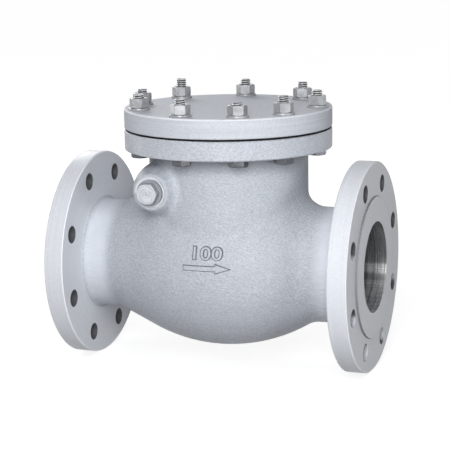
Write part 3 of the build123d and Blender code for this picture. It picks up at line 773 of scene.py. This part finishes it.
class Palette:
    """Every finish of the valve, built once."""

    def __init__(self) -> None:
        """Builds the shared groups and the materials."""
        effects = Effects()
        self.casting = CastingFinish().build("painted_casting", effects)
        self.cover = TurnedFinish(
            Axis.COVER,
            light=grey(0.60, 0.055),
            dark=grey(0.50, 0.05),
            metallic=0.0,
            smooth=0.52,
            rough=0.62,
            pitch=1.1 * MM,
            depth=0.04 * MM,
            ringed=0.75,
            # Painted highlight along the cover's upper edge
            edge_highlight=grey(0.74, 0.05),
            highlight_radius=116.4 * MM,
            highlight_height=174.5 * MM,
        ).build("painted_cover", effects)
        self.plug = TurnedFinish(
            Axis.HINGE,
            light=grey(0.66, 0.045),
            dark=grey(0.46, 0.035),
            metallic=0.1,
            smooth=0.3,
            rough=0.45,
            pitch=0.6 * MM,
            ringed=0.95,
            # Painted shade on the hex flanks behind the end face
            face=109 * MM,
        ).build("turned_plug", effects)
        self.inner = TurnedFinish(
            Axis.PIPE, light=grey(0.52), dark=grey(0.42), metallic=0.9, smooth=0.24, rough=0.4
        ).build("turned_trim", effects)
        self.pin = TurnedFinish(
            Axis.HINGE, light=grey(0.56), dark=grey(0.48), metallic=0.95, smooth=0.2, rough=0.32
        ).build("ground_pin", effects)
        self.fastener = PlainFinish(
            light=grey(0.40, 0.02), dark=grey(0.30, 0.015), metallic=0.25, smooth=0.3, rough=0.42
        ).build("plain_fastener", effects)
        self.stud = PlainFinish(
            light=grey(0.56, 0.02),
            dark=grey(0.46, 0.015),
            metallic=0.2,
            smooth=0.3,
            rough=0.42,
            root=grey(0.07, 0.005),
        ).build("threaded_stud", effects)
        # Darker finish for the lower nuts: painted shade under the cover flange
        self.shaded_fastener = PlainFinish(
            light=grey(0.13, 0.01), dark=grey(0.08, 0.008), metallic=0.8, smooth=0.24, rough=0.34
        ).build("fastener_painted_shade", effects)
        # Darker finish for the sloping walls of the raised signs: painted shade
        self.sign_wall_shade = PlainFinish(
            light=grey(0.20, 0.02), dark=grey(0.15, 0.015), metallic=0.0, smooth=0.55, rough=0.7
        ).build("sign_wall_shade", effects)
        self.forging = PlainFinish(
            light=grey(0.36, 0.004),
            dark=grey(0.28, 0.004),
            metallic=0.6,
            smooth=0.45,
            rough=0.6,
            grain=1.6 * MM,
            depth=0.1 * MM,
        ).build("cast_arm", effects)
        self.gasket = PlainFinish(
            light=grey(0.006), dark=grey(0.004), metallic=0.0, smooth=0.8, rough=0.9
        ).build("black_gasket", effects)

    @staticmethod
    def dress(node: bpy.types.Object, material: bpy.types.Material) -> None:
        """Puts one finish on every slot of a piece."""
        for slot in node.material_slots:
            slot.material = material


def islands(node: bpy.types.Object) -> list[list[Vector]]:
    """The separate solids of a node, each as its corners, in the order of their places.

    Args:
        node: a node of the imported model
    Returns:
        the corners of each solid
    """
    shape = bmesh.new()
    shape.from_mesh(node.data)
    bmesh.ops.remove_doubles(shape, verts=shape.verts, dist=SAME_PLACE)
    waiting = dict.fromkeys(shape.verts)
    found = []
    while waiting:
        front = [waiting.popitem()[0]]
        solid = []
        while front:
            corner = front.pop()
            solid.append(corner.co.copy())
            for edge in corner.link_edges:
                other = edge.other_vert(corner)
                if other in waiting:
                    del waiting[other]
                    front.append(other)
        found.append(solid)
    shape.free()
    return sorted(found, key=lambda solid: [round(part, 4) for part in middle(solid).yx])


def middle(solid: list[Vector]) -> Vector:
    """The middle of the box round some corners."""
    low = Vector(min(corner[axis] for corner in solid) for axis in range(3))
    high = Vector(max(corner[axis] for corner in solid) for axis in range(3))
    return (low + high) / 2


def rings_to_mesh(name: str, rings: list[Ring], steps: int) -> bpy.types.Mesh:
    """A closed ring-shaped mesh from rings about the Z axis.

    Args:
        name: the mesh's name
        rings: for each ring, its radius and height at an angle in degrees
        steps: corners in each ring
    Returns:
        the mesh, its faces outwards
    """
    shape = bmesh.new()
    loops = []
    for ring in rings:
        loop = []
        for step in range(steps):
            angle = 360.0 * step / steps
            radius, height = ring(angle)
            turn = math.radians(angle)
            loop.append(shape.verts.new((radius * math.cos(turn), radius * math.sin(turn), height)))
        loops.append(loop)
    for index, loop in enumerate(loops):
        after = loops[(index + 1) % len(loops)]
        for step in range(steps):
            other = (step + 1) % steps
            shape.faces.new((loop[step], loop[other], after[other], after[step]))
    bmesh.ops.recalc_face_normals(shape, faces=shape.faces)
    mesh = bpy.data.meshes.new(name)
    shape.to_mesh(mesh)
    shape.free()
    return mesh


class Tools:
    """Steps that several sub-assemblies share."""

    @staticmethod
    def object_from(name: str, data: bpy.types.ID) -> bpy.types.Object:
        """A new object in the scene that holds a mesh, curve, text, camera or lamp."""
        piece = bpy.data.objects.new(name, data)
        bpy.context.scene.collection.objects.link(piece)
        return piece

    @staticmethod
    def settled(piece: bpy.types.Object, name: str, smooth_angle: float = 30.0) -> bpy.types.Object:
        """Turns a piece and its modifiers into a plain mesh piece.

        Args:
            piece: object with live modifiers, removed here
            name: the finished piece's name
            smooth_angle: edges sharper than this stay crisp, in degrees
        Returns:
            the finished piece
        """
        graph = bpy.context.evaluated_depsgraph_get()
        mesh = bpy.data.meshes.new_from_object(piece.evaluated_get(graph))
        bpy.data.objects.remove(piece)
        mesh.name = name
        for face in mesh.polygons:
            face.use_smooth = True
        mesh.set_sharp_from_angle(angle=math.radians(smooth_angle))
        return Tools.object_from(name, mesh)

    @staticmethod
    def bevelled(name: str, mesh: bpy.types.Mesh, width: float, limit: float) -> bpy.types.Object:
        """A pattern piece with its edges eased.

        Args:
            name: the pattern's name
            mesh: its mesh
            width: width of the eased edge, in metres
            limit: least angle of an edge that is eased, in degrees
        Returns:
            the pattern piece
        """
        piece = Tools.object_from(name, mesh)
        bevel = piece.modifiers.new("ease", "BEVEL")
        bevel.width = width
        bevel.segments = 2
        bevel.limit_method = "ANGLE"
        bevel.angle_limit = math.radians(limit)
        return Tools.settled(piece, name)

    @staticmethod
    def cloud(name: str, places: list[Vector], **marks: list) -> bpy.types.Object:
        """Loose points that carry a vector or a whole number each.

        Args:
            name: the object's name
            places: one point for each repeat
            marks: for each attribute, a vector or a whole number for each point
        Returns:
            the object
        """
        mesh = bpy.data.meshes.new(name)
        mesh.from_pydata(places, [], [])
        for label, values in marks.items():
            if isinstance(values[0], int):
                layer = mesh.attributes.new(label, "INT", "POINT")
                layer.data.foreach_set("value", values)
            else:
                layer = mesh.attributes.new(label, "FLOAT_VECTOR", "POINT")
                layer.data.foreach_set("vector", [part for value in values for part in value])
        return Tools.object_from(name, mesh)

    @staticmethod
    def run_tree(piece: bpy.types.Object, tree: bpy.types.NodeTree, inputs: dict[str, object]) -> None:
        """Puts a geometry node tree on an object and sets its named inputs.

        Args:
            piece: the object
            tree: the tree
            inputs: a value for each input's name
        """
        modifier = piece.modifiers.new(tree.name, "NODES")
        modifier.node_group = tree
        sockets = [item for item in tree.interface.items_tree if item.item_type == "SOCKET"]
        keys = {item.name: item.identifier for item in sockets}
        for label, value in inputs.items():
            modifier[keys[label]] = value


class GeometryTree:
    """A geometry node tree with named inputs that ends in real, dressed geometry."""

    name = "Tree"
    inputs: dict[str, str] = {}

    def __init__(self) -> None:
        """Makes the tree's sockets, lets the subclass fill it and ends it."""
        self.tree = bpy.data.node_groups.new(self.name, "GeometryNodeTree")
        self.tree.interface.new_socket("Geometry", in_out="INPUT", socket_type="NodeSocketGeometry")
        for label, kind in self.inputs.items():
            self.tree.interface.new_socket(label, in_out="INPUT", socket_type=kind)
        finish = self.tree.interface.new_socket("Finish", in_out="INPUT", socket_type="NodeSocketMaterial")
        self.tree.interface.new_socket("Geometry", in_out="OUTPUT", socket_type="NodeSocketGeometry")
        graph = Graph(self.tree)
        given = graph.add("NodeGroupInput").outputs
        shape = self.fill(graph, given)
        real = graph.add("GeometryNodeRealizeInstances", {"Geometry": shape}).outputs["Geometry"]
        dressed = graph.add("GeometryNodeSetMaterial", {"Geometry": real, "Material": given[finish.name]})
        graph.add("NodeGroupOutput", {"Geometry": dressed.outputs["Geometry"]})

    def fill(self, graph: Graph, given: bpy.types.NodeOutputs) -> object:
        """Builds the shape.

        Args:
            graph: the tree
            given: the tree's inputs
        Returns:
            the geometry's socket
        """
        raise NotImplementedError


class ThreadedRod(GeometryTree):
    """A rod with a screw thread and an eased tip, standing on the origin."""

    name = "Threaded rod"
    inputs = {
        "Radius": "NodeSocketFloat",
        "Pitch": "NodeSocketFloat",
        "Depth": "NodeSocketFloat",
        "Length": "NodeSocketFloat",
        "Tip": "NodeSocketFloat",
        "Around": "NodeSocketInt",
        "Rows in a pitch": "NodeSocketFloat",
    }
    flat_share = 0.12

    def fill(self, graph: Graph, given: bpy.types.NodeOutputs) -> object:
        """Moves a cylinder's rings as a thread passes them, and keeps its depth as groove."""
        length = given["Length"]
        rows = graph.product(graph.math("DIVIDE", length, given["Pitch"]), given["Rows in a pitch"])
        sizes = {
            "Vertices": given["Around"],
            "Side Segments": rows,
            "Radius": given["Radius"],
            "Depth": length,
        }
        rod = graph.add("GeometryNodeMeshCylinder", sizes, fill_type="NGON").outputs["Mesh"]
        x, y, z = graph.split(graph.add("GeometryNodeInputPosition").outputs[0])
        height = graph.total(z, graph.product(length, 0.5))
        angle = graph.math("ARCTAN2", y, x)
        risen = graph.math("DIVIDE", height, given["Pitch"])
        turns = graph.math("SUBTRACT", risen, graph.product(angle, 0.5 / math.pi))
        groove = graph.product(graph.math("PINGPONG", turns, 0.5), 2.0)
        flank = graph.stretched(groove, self.flat_share)
        radius = graph.math("SUBTRACT", given["Radius"], graph.product(flank, given["Depth"]))
        past = graph.math("SUBTRACT", height, graph.math("SUBTRACT", length, given["Tip"]))
        eased = graph.math("SUBTRACT", given["Radius"], graph.math("MAXIMUM", past, 0.0))
        radius = graph.math("MINIMUM", radius, eased)
        out_x = graph.product(radius, graph.math("COSINE", angle))
        out_y = graph.product(radius, graph.math("SINE", angle))
        mark = {"Geometry": rod, "Name": "groove", "Value": flank}
        marked = graph.add("GeometryNodeStoreNamedAttribute", mark, data_type="FLOAT", domain="POINT")
        moved = {"Geometry": marked.outputs["Geometry"], "Position": graph.join(out_x, out_y, height)}
        return graph.add("GeometryNodeSetPosition", moved).outputs["Geometry"]


class PieceOnPlaces(GeometryTree):
    """One pattern piece at every point, turned and stretched as the point says."""

    name = "Piece on places"
    inputs = {"Piece": "NodeSocketObject"}

    def fill(self, graph: Graph, given: bpy.types.NodeOutputs) -> object:
        """Instances on points."""
        return self.spread(graph, given["Geometry"], given["Piece"])

    @staticmethod
    def spread(graph: Graph, points: object, piece: object, kind: int | None = None) -> object:
        """Puts a piece on the points, or on those of one kind.

        Args:
            graph: the tree
            points: the points' socket
            piece: the pattern's socket
            kind: the kind of point to use, or None for all
        Returns:
            the instances' socket
        """
        pattern = graph.add("GeometryNodeObjectInfo", {"Object": piece}).outputs["Geometry"]
        sockets = {"Points": points, "Instance": pattern}
        for label, name in (("Rotation", "turn"), ("Scale", "stretch")):
            mark = graph.add("GeometryNodeInputNamedAttribute", {"Name": name}, data_type="FLOAT_VECTOR")
            sockets[label] = mark.outputs[0]
        if kind is not None:
            mark = graph.add("GeometryNodeInputNamedAttribute", {"Name": "kind"}, data_type="INT")
            sockets["Selection"] = graph.math("COMPARE", mark.outputs[0], float(kind))
        return graph.add("GeometryNodeInstanceOnPoints", sockets).outputs["Instances"]


class StudsOnPlaces(PieceOnPlaces):
    """Whole studs: an upper end, a shank and a lower end at the points of their kind."""

    name = "Studs on places"
    inputs = {part.label: "NodeSocketObject" for part in StudPart}

    def fill(self, graph: Graph, given: bpy.types.NodeOutputs) -> object:
        """The three kinds of point, each with its own piece."""
        together = graph.add("GeometryNodeJoinGeometry")
        for part in StudPart:
            spread = self.spread(graph, given["Geometry"], given[part.label], part.value)
            graph.tree.links.new(spread, together.inputs[0])
        return together.outputs[0]


@dataclass(frozen=True)
class UprightSolid:
    """A fastener's solid, measured about its upright axis."""

    centre: Vector
    low: float
    high: float
    bore: float
    reach: float
    facing: float

    @classmethod
    def measured(cls, corners: list[Vector]) -> UprightSolid:
        """Reads a solid's sizes off its corners.

        Args:
            corners: the solid's corners
        Returns:
            its sizes, with the direction of its farthest corner as its facing
        """
        centre = middle(corners)
        offsets = [corner.xy - centre.xy for corner in corners]
        farthest = max(offsets, key=lambda offset: offset.length)
        return cls(
            centre=centre,
            low=min(corner.z for corner in corners),
            high=max(corner.z for corner in corners),
            bore=min(offset.length for offset in offsets),
            reach=farthest.length,
            facing=math.atan2(farthest.y, farthest.x),
        )

    def at(self, height: float) -> Vector:
        """The point of the axis at a height."""
        return Vector((self.centre.x, self.centre.y, height))


@dataclass
class CoverFastenings:
    """The cover's studs with real threads, and its nuts and washers with eased edges."""

    nodes: dict[str, bpy.types.Object]
    palette: Palette
    pitch: float = 2.4 * MM
    thread_depth: float = 1.3 * MM
    upper_length: float = 17 * MM
    lower_length: float = 6 * MM
    tip: float = 1.1 * MM
    around: int = 36
    rows: float = 12.0
    plain_rows: float = 0.5
    twist_step: float = 2.1
    thread_angle: float = 40.0
    turned_share: float = 0.475
    mouth: float = 0.9 * MM
    ease: float = 0.14 * MM
    nut_crease: float = 28.0
    nut_facet_angle: float = 15.0
    nut_steps: int = 72
    washer_crease: float = 40.0
    washer_facet_angle: float = 30.0
    washer_steps: int = 64
    body: str = "casing"
    rod_tree: bpy.types.NodeTree = field(init=False)
    spread_tree: bpy.types.NodeTree = field(init=False)

    def build(self) -> None:
        """Makes every fastening of the cover."""
        self.spread_tree = PieceOnPlaces().tree
        self.studs()
        self.nuts("cover_nuts_upper", self.palette.fastener)
        # The lower nuts wear the darker finish: painted shade under the cover flange
        self.nuts("cover_nuts_lower", self.palette.shaded_fastener)
        self.washers("cover_washers", self.palette.fastener)

    def keep(self, piece: bpy.types.Object, node: str) -> None:
        """Lets a finished piece stand for its node."""
        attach(piece, self.body)
        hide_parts(node)
        LOG.info("%s stands for %s", piece.name, node)

    def measured(self, node: str) -> list[UprightSolid]:
        """The solids of a node with their sizes."""
        return [UprightSolid.measured(corners) for corners in islands(self.nodes[node])]

    def rod(self, name: str, radius: float, length: float, depth: float) -> bpy.types.Object:
        """One threaded end, or a plain shank where the thread has no depth.

        Args:
            name: the pattern's name
            radius: outer radius
            length: its length
            depth: the thread's depth
        Returns:
            the pattern piece
        """
        piece = Tools.object_from(name, bpy.data.meshes.new(name))
        inputs = {
            "Radius": radius,
            "Pitch": self.pitch,
            "Depth": depth,
            "Length": length,
            "Tip": self.tip if depth else 0.0,
            "Around": self.around,
            "Rows in a pitch": self.rows if depth else self.plain_rows,
            "Finish": self.palette.stud,
        }
        Tools.run_tree(piece, self.rod_tree, inputs)
        return Tools.settled(piece, name, self.thread_angle)

    def studs(self) -> None:
        """Nine studs, each as long as its solid."""
        self.rod_tree = ThreadedRod().tree
        solids = islands(self.nodes["cover_studs"])
        across = [corner.x for corner in solids[0]]
        radius = (max(across) - min(across)) / 2
        upper = self.rod("stud_upper_end", radius, self.upper_length, self.thread_depth)
        lower = self.rod("stud_lower_end", radius, self.lower_length, self.thread_depth)
        shank = self.rod("stud_shank", radius, 1.0, 0.0)
        places, turns, sizes, kinds = [], [], [], []
        for index, solid in enumerate(solids):
            stud = UprightSolid.measured(solid)
            twist = index * self.twist_step
            plain = stud.high - stud.low - self.upper_length - self.lower_length
            rows = (
                (stud.high - self.upper_length, (0.0, 0.0, twist), 1.0, StudPart.UPPER_END),
                (stud.low + self.lower_length, (0.0, 0.0, 0.0), plain, StudPart.SHANK),
                (stud.low + self.lower_length, (math.pi, 0.0, twist), 1.0, StudPart.LOWER_END),
            )
            for height, turn, stretch, part in rows:
                places.append(stud.at(height))
                turns.append(turn)
                sizes.append((1.0, 1.0, stretch))
                kinds.append(part.value)
        points = Tools.cloud("stud_places", places, turn=turns, stretch=sizes, kind=kinds)
        patterns = {
            StudPart.UPPER_END.label: upper,
            StudPart.SHANK.label: shank,
            StudPart.LOWER_END.label: lower,
        }
        Tools.run_tree(points, StudsOnPlaces().tree, patterns | {"Finish": self.palette.stud})
        self.keep(Tools.settled(points, "threaded_cover_studs", self.thread_angle), "cover_studs")
        for pattern in patterns.values():
            bpy.data.objects.remove(pattern)

    def nut_mesh(self, across: float, height: float, bore: float) -> bpy.types.Mesh:
        """A hexagon nut with turned corners and a flared mouth at both ends.

        Args:
            across: distance between two flats
            height: its height
            bore: radius of its bore
        Returns:
            the mesh, one flat towards +X, standing on the origin
        """
        turned = self.turned_share * across

        def reach(angle: float) -> float:
            """Distance from the axis to the hexagon at an angle."""
            return across / 2 / math.cos(math.radians((angle + 30.0) % 60.0 - 30.0))

        def fall(angle: float) -> float:
            """How far the turned corner falls away at an angle."""
            return (reach(angle) - turned) / math.sqrt(3)

        rings = [
            lambda angle: (bore, self.mouth),
            lambda angle: (bore + self.mouth, 0.0),
            lambda angle: (turned, 0.0),
            lambda angle: (reach(angle), fall(angle)),
            lambda angle: (reach(angle), height - fall(angle)),
            lambda angle: (turned, height),
            lambda angle: (bore + self.mouth, height),
            lambda angle: (bore, height - self.mouth),
        ]
        return rings_to_mesh("nut", rings, self.nut_steps)

    def lay_out(
        self,
        node: str,
        pattern: bpy.types.Object,
        solids: list[UprightSolid],
        turns: list[Point],
        finish: bpy.types.Material,
        facet_angle: float,
    ) -> None:
        """Puts a pattern piece at the foot of every solid and lets the whole stand for its node.

        Args:
            node: the node that it stands for
            pattern: the piece to repeat, removed here
            solids: the solids that it stands for
            turns: each one's turn, in radians
            finish: their material
            facet_angle: edges sharper than this stay crisp, in degrees
        """
        places = [solid.at(solid.low) for solid in solids]
        sizes = [(1.0, 1.0, 1.0)] * len(places)
        points = Tools.cloud(node + "_places", places, turn=turns, stretch=sizes)
        Tools.run_tree(points, self.spread_tree, {"Piece": pattern, "Finish": finish})
        self.keep(Tools.settled(points, "eased_" + node, facet_angle), node)
        bpy.data.objects.remove(pattern)

    def nuts(self, node: str, finish: bpy.types.Material) -> None:
        """The nuts of one side, each facing as its solid does.

        Args:
            node: the nuts' node
            finish: their material
        """
        nuts = self.measured(node)
        last = nuts[-1]
        mesh = self.nut_mesh(last.reach * math.sqrt(3), last.high - last.low, last.bore)
        pattern = Tools.bevelled("nut_pattern", mesh, self.ease, self.nut_crease)
        turns = [(0.0, 0.0, nut.facing - math.radians(30)) for nut in nuts]
        self.lay_out(node, pattern, nuts, turns, finish, self.nut_facet_angle)

    def washers(self, node: str, finish: bpy.types.Material) -> None:
        """The washers under the upper nuts.

        Args:
            node: the washers' node
            finish: their material
        """
        washers = self.measured(node)
        last = washers[-1]
        height = last.high - last.low
        rings = [
            lambda angle: (last.bore, 0.0),
            lambda angle: (last.reach, 0.0),
            lambda angle: (last.reach, height),
            lambda angle: (last.bore, height),
        ]
        mesh = rings_to_mesh("washer", rings, self.washer_steps)
        pattern = Tools.bevelled("washer_pattern", mesh, self.ease, self.washer_crease)
        turns = [(0.0, 0.0, 0.0)] * len(washers)
        self.lay_out(node, pattern, washers, turns, finish, self.washer_facet_angle)


@dataclass
class CastSigns:
    """The flow arrow and the nominal size, raised on the casting's front."""

    casting: bpy.types.Object
    palette: Palette
    relief: float = 1.3 * MM
    sunk: float = 1.1 * MM
    draft: float = 0.95 * MM
    arrow_tail_x: float = 159.5 * MM
    arrow_head_x: float = 196.0 * MM
    arrow_tip_x: float = 212.5 * MM
    arrow_z: float = 9.3 * MM
    arrow_half_shaft: float = 2.7 * MM
    arrow_half_head: float = 5.2 * MM
    number: str = "100"
    number_x: float = 185.0 * MM
    number_z: float = 19.0 * MM
    number_size: float = 19.4 * MM
    number_stretch: float = 1.3
    number_weight: float = 0.45 * MM
    longest_edge: float = 3.0 * MM
    halvings: int = 5
    merge: float = 0.005 * MM
    level_share: float = 0.9
    in_front: float = -1.0
    skin: BVHTree = field(init=False)

    def build(self) -> None:
        """Makes both signs."""
        graph = bpy.context.evaluated_depsgraph_get()
        self.skin = BVHTree.FromObject(self.casting, graph)
        self.raised(self.arrow_outline(), "flow_arrow")
        self.raised(self.number_outline(), "size_number")

    def thicken(self, curve: bpy.types.Curve) -> None:
        """Gives a flat outline its height and its sloping edge."""
        curve.extrude = (self.relief + self.sunk) / 2 - self.draft
        curve.bevel_depth = self.draft
        curve.bevel_resolution = 0
        curve.offset = -self.draft / 2

    def arrow_outline(self) -> bpy.types.Object:
        """The arrow as a filled outline."""
        shaft, head = self.arrow_half_shaft, self.arrow_half_head
        corners = (
            (self.arrow_tail_x, -shaft),
            (self.arrow_head_x, -shaft),
            (self.arrow_head_x, -head),
            (self.arrow_tip_x, 0.0),
            (self.arrow_head_x, head),
            (self.arrow_head_x, shaft),
            (self.arrow_tail_x, shaft),
        )
        curve = bpy.data.curves.new("arrow_outline", "CURVE")
        curve.dimensions = "2D"
        curve.fill_mode = "BOTH"
        line = curve.splines.new("POLY")
        line.points.add(len(corners) - 1)
        for point, (x, z) in zip(line.points, corners):
            point.co = (x, self.arrow_z + z, 0.0, 1.0)
        line.use_cyclic_u = True
        self.thicken(curve)
        return Tools.object_from("arrow_outline", curve)

    def number_outline(self) -> bpy.types.Object:
        """The number as a filled outline."""
        text = bpy.data.curves.new("number_outline", "FONT")
        text.body = self.number
        text.size = self.number_size
        text.align_x = "CENTER"
        self.thicken(text)
        text.offset = self.number_weight - self.draft / 2
        piece = Tools.object_from("number_outline", text)
        piece.location = (self.number_x, self.number_z, 0.0)
        piece.scale = (self.number_stretch, 1.0, 1.0)
        return piece

    def raised(self, outline: bpy.types.Object, name: str) -> None:
        """Lays an outline on the casting's skin and leaves it standing proud.

        Args:
            outline: curve or text object, its plane the casting's front view
            name: the finished piece's name
        """
        bpy.context.view_layer.update()
        graph = bpy.context.evaluated_depsgraph_get()
        mesh = bpy.data.meshes.new_from_object(outline.evaluated_get(graph))
        mesh.transform(outline.matrix_world)
        bpy.data.objects.remove(outline)
        shape = bmesh.new()
        shape.from_mesh(mesh)
        bmesh.ops.remove_doubles(shape, verts=shape.verts, dist=self.merge)
        for _ in range(self.halvings):
            long = [edge for edge in shape.edges if edge.calc_length() > self.longest_edge]
            if long:
                bmesh.ops.subdivide_edges(shape, edges=long, cuts=1)
                bmesh.ops.triangulate(shape, faces=shape.faces)
        out = (self.relief - self.sunk) / 2
        shape.normal_update()
        levels = [abs(face.normal.z) > self.level_share for face in shape.faces]
        for corner in shape.verts:
            x, z, proud = corner.co
            hit = self.skin.ray_cast(Vector((x, self.in_front, z)), Vector((0.0, 1.0, 0.0)))[0]
            corner.co = Vector((x, hit.y - proud - out, z))
        bmesh.ops.recalc_face_normals(shape, faces=shape.faces)
        shape.to_mesh(mesh)
        shape.free()
        piece = Tools.object_from(name, mesh)
        mesh.materials.clear()
        # Level tops wear the casting's finish, sloping walls the darker one: painted shade
        for material in (self.palette.casting, self.palette.sign_wall_shade):
            mesh.materials.append(material)
        for face, level in zip(mesh.polygons, levels):
            face.material_index = 0 if level else 1
        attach(piece, "casing")
        LOG.info("%s: %d faces", name, len(mesh.polygons))


@dataclass
class CarriedOverSolids:
    """The solids whose shape is already right, each with its own finish or that of a fastener."""

    nodes: dict[str, bpy.types.Object]
    palette: Palette

    def dress(self) -> None:
        """Puts the finishes on."""
        look = self.palette
        finishes = {
            "valve_body": look.casting,
            "cover": look.cover,
            "cover_gasket": look.gasket,
            "hinge_plug_front": look.plug,
            "hinge_plug_rear": look.plug,
            "plug_gasket_front": look.gasket,
            "plug_gasket_rear": look.gasket,
            "hinge_pin": look.pin,
            "swing_arm": look.forging,
            "seat_ring": look.inner,
            "disc": look.inner,
        }
        for name, node in self.nodes.items():
            finish = finishes.get(name, look.fastener)
            look.dress(node, finish)
            LOG.info("%s wears %s", name, finish.name)


@dataclass(frozen=True)
class PhotoCamera:
    """The camera at the photograph's angle."""

    azimuth: float = 19.64
    elevation: float = 11.21
    roll: float = -0.89
    distance: float = 1842.18 * MM
    lens: float = 129.76
    sensor: float = 36.0
    clip_end: float = 50.0
    target: Point = (174.16 * MM, 0.0, 38.47 * MM)

    def place(self) -> None:
        """Makes the camera and gives it to the scene."""
        turn, roll = math.radians(self.azimuth), math.radians(self.roll)
        back = towards(self.azimuth, self.elevation)
        side = Vector((math.cos(turn), math.sin(turn), 0.0))
        up = back.cross(side)
        right = math.cos(roll) * side + math.sin(roll) * up
        top = math.cos(roll) * up - math.sin(roll) * side
        view = bpy.data.cameras.new("photo_camera")
        view.lens = self.lens
        view.sensor_width = self.sensor
        view.clip_end = self.clip_end
        camera = Tools.object_from("photo_camera", view)
        matrix = Matrix((right, top, back)).transposed().to_4x4()
        matrix.translation = Vector(self.target) + self.distance * back
        camera.matrix_world = matrix
        bpy.context.scene.camera = camera


@dataclass(frozen=True)
class SoftLight:
    """A square lamp panel that looks at the valve."""

    name: str
    azimuth: float
    elevation: float
    distance: float
    width: float
    height: float
    power: float

    def hang(self, target: Vector) -> None:
        """Makes the lamp.

        Args:
            target: the point that it looks at
        """
        out = towards(self.azimuth, self.elevation)
        lamp = bpy.data.lights.new(self.name, "AREA")
        lamp.shape = "RECTANGLE"
        lamp.size = self.width
        lamp.size_y = self.height
        lamp.energy = self.power
        holder = Tools.object_from(self.name, lamp)
        holder.rotation_euler = out.to_track_quat("Z", "Y").to_euler()
        holder.location = target + self.distance * out


@dataclass
class Studio:
    """The pale floor, the white surroundings and the soft light."""

    floor_height: float
    middle: Vector
    floor_size: float = 40.0
    floor_grey: float = 0.38
    floor_roughness: float = 0.9
    near_glow: float = 0.8
    far_glow: float = 0.97
    glow_start: float = 0.3
    glow_end: float = 1.6
    ambient: float = 0.05

    # Name, azimuth, elevation, distance, width, height and power
    lights: tuple[SoftLight, ...] = (
        SoftLight("key", 14.0, 19.0, 1.5, 0.5, 1.0, 20.5),
        SoftLight("outlet_side", 62.0, 3.0, 1.6, 0.5, 0.3, 5.0),
        SoftLight("inlet_side", -93.0, 0.0, 1.6, 0.5, 0.3, 3.0),
        SoftLight("back", 224.0, 26.0, 1.6, 0.8, 0.6, 10.5),
        SoftLight("overhead", 10.0, 80.0, 1.5, 1.2, 1.2, 4.0),
    )

    def build(self) -> None:
        """Makes the whole studio."""
        self.floor()
        self.surroundings()
        for light in self.lights:
            light.hang(self.middle)
        bpy.context.scene.view_settings.view_transform = "Standard"

    @staticmethod
    def seen(graph: Graph) -> object:
        """Mask of rays that show the background: to the camera, in metal and through glass."""
        rays = graph.add("ShaderNodeLightPath").outputs
        both = graph.math("ADD", rays["Is Camera Ray"], rays["Is Glossy Ray"], clamp=True)
        return graph.math("ADD", both, rays["Is Transmission Ray"], clamp=True)

    def floor(self) -> None:
        """The plain floor, which keeps the valve's shadow."""
        half = self.floor_size / 2
        corners = [(x * half, y * half, self.floor_height) for x, y in ((-1, -1), (1, -1), (1, 1), (-1, 1))]
        mesh = bpy.data.meshes.new("studio_floor")
        mesh.from_pydata(corners, [], [(0, 1, 2, 3)])
        material = bpy.data.materials.new("studio_floor")
        material.use_nodes = True
        graph = Graph(material.node_tree)
        x, y, _ = graph.split(graph.add("ShaderNodeTexCoord").outputs["Object"])
        away = graph.length(graph.math("SUBTRACT", x, self.middle.x), y)
        glow = graph.ramp(away, self.glow_start, self.glow_end, self.near_glow, self.far_glow)
        inputs = {
            "Base Color": grey(self.floor_grey),
            "Roughness": self.floor_roughness,
            "Specular IOR Level": 0.0,
            "Emission Color": grey(1.0),
            "Emission Strength": graph.product(self.seen(graph), glow),
        }
        graph.feed(material.node_tree.nodes["Principled BSDF"], inputs)
        mesh.materials.append(material)
        Tools.object_from("studio_floor", mesh)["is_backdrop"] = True

    def surroundings(self) -> None:
        """White to the camera and in reflections, and a plain level of light on the rest."""
        world = bpy.data.worlds.new("studio")
        world.use_nodes = True
        graph = Graph(world.node_tree)
        world.node_tree.nodes.clear()
        plain = graph.add("ShaderNodeBackground", {"Color": grey(1.0), "Strength": self.ambient})
        white = graph.add("ShaderNodeBackground", {"Color": grey(1.0), "Strength": 1.0})
        sockets = {0: self.seen(graph), 1: plain.outputs[0], 2: white.outputs[0]}
        both = graph.add("ShaderNodeMixShader", sockets)
        graph.add("ShaderNodeOutputWorld", {"Surface": both.outputs[0]})
        bpy.context.scene.world = world


def main() -> None:
    """Loads the frame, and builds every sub-assembly and the studio."""
    logging.basicConfig(level=logging.INFO, format="%(name)s: %(message)s")
    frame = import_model()
    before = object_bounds()
    nodes = frame["nodes"]
    palette = Palette()
    CarriedOverSolids(nodes, palette).dress()
    CoverFastenings(nodes, palette).build()
    CastSigns(nodes["valve_body"], palette).build()
    low, high = (Vector(corner) for corner in before)
    Studio(low.z, (low + high) / 2).build()
    PhotoCamera().place()
    LOG.info("boxes written")


if __name__ == "__main__":
    main()
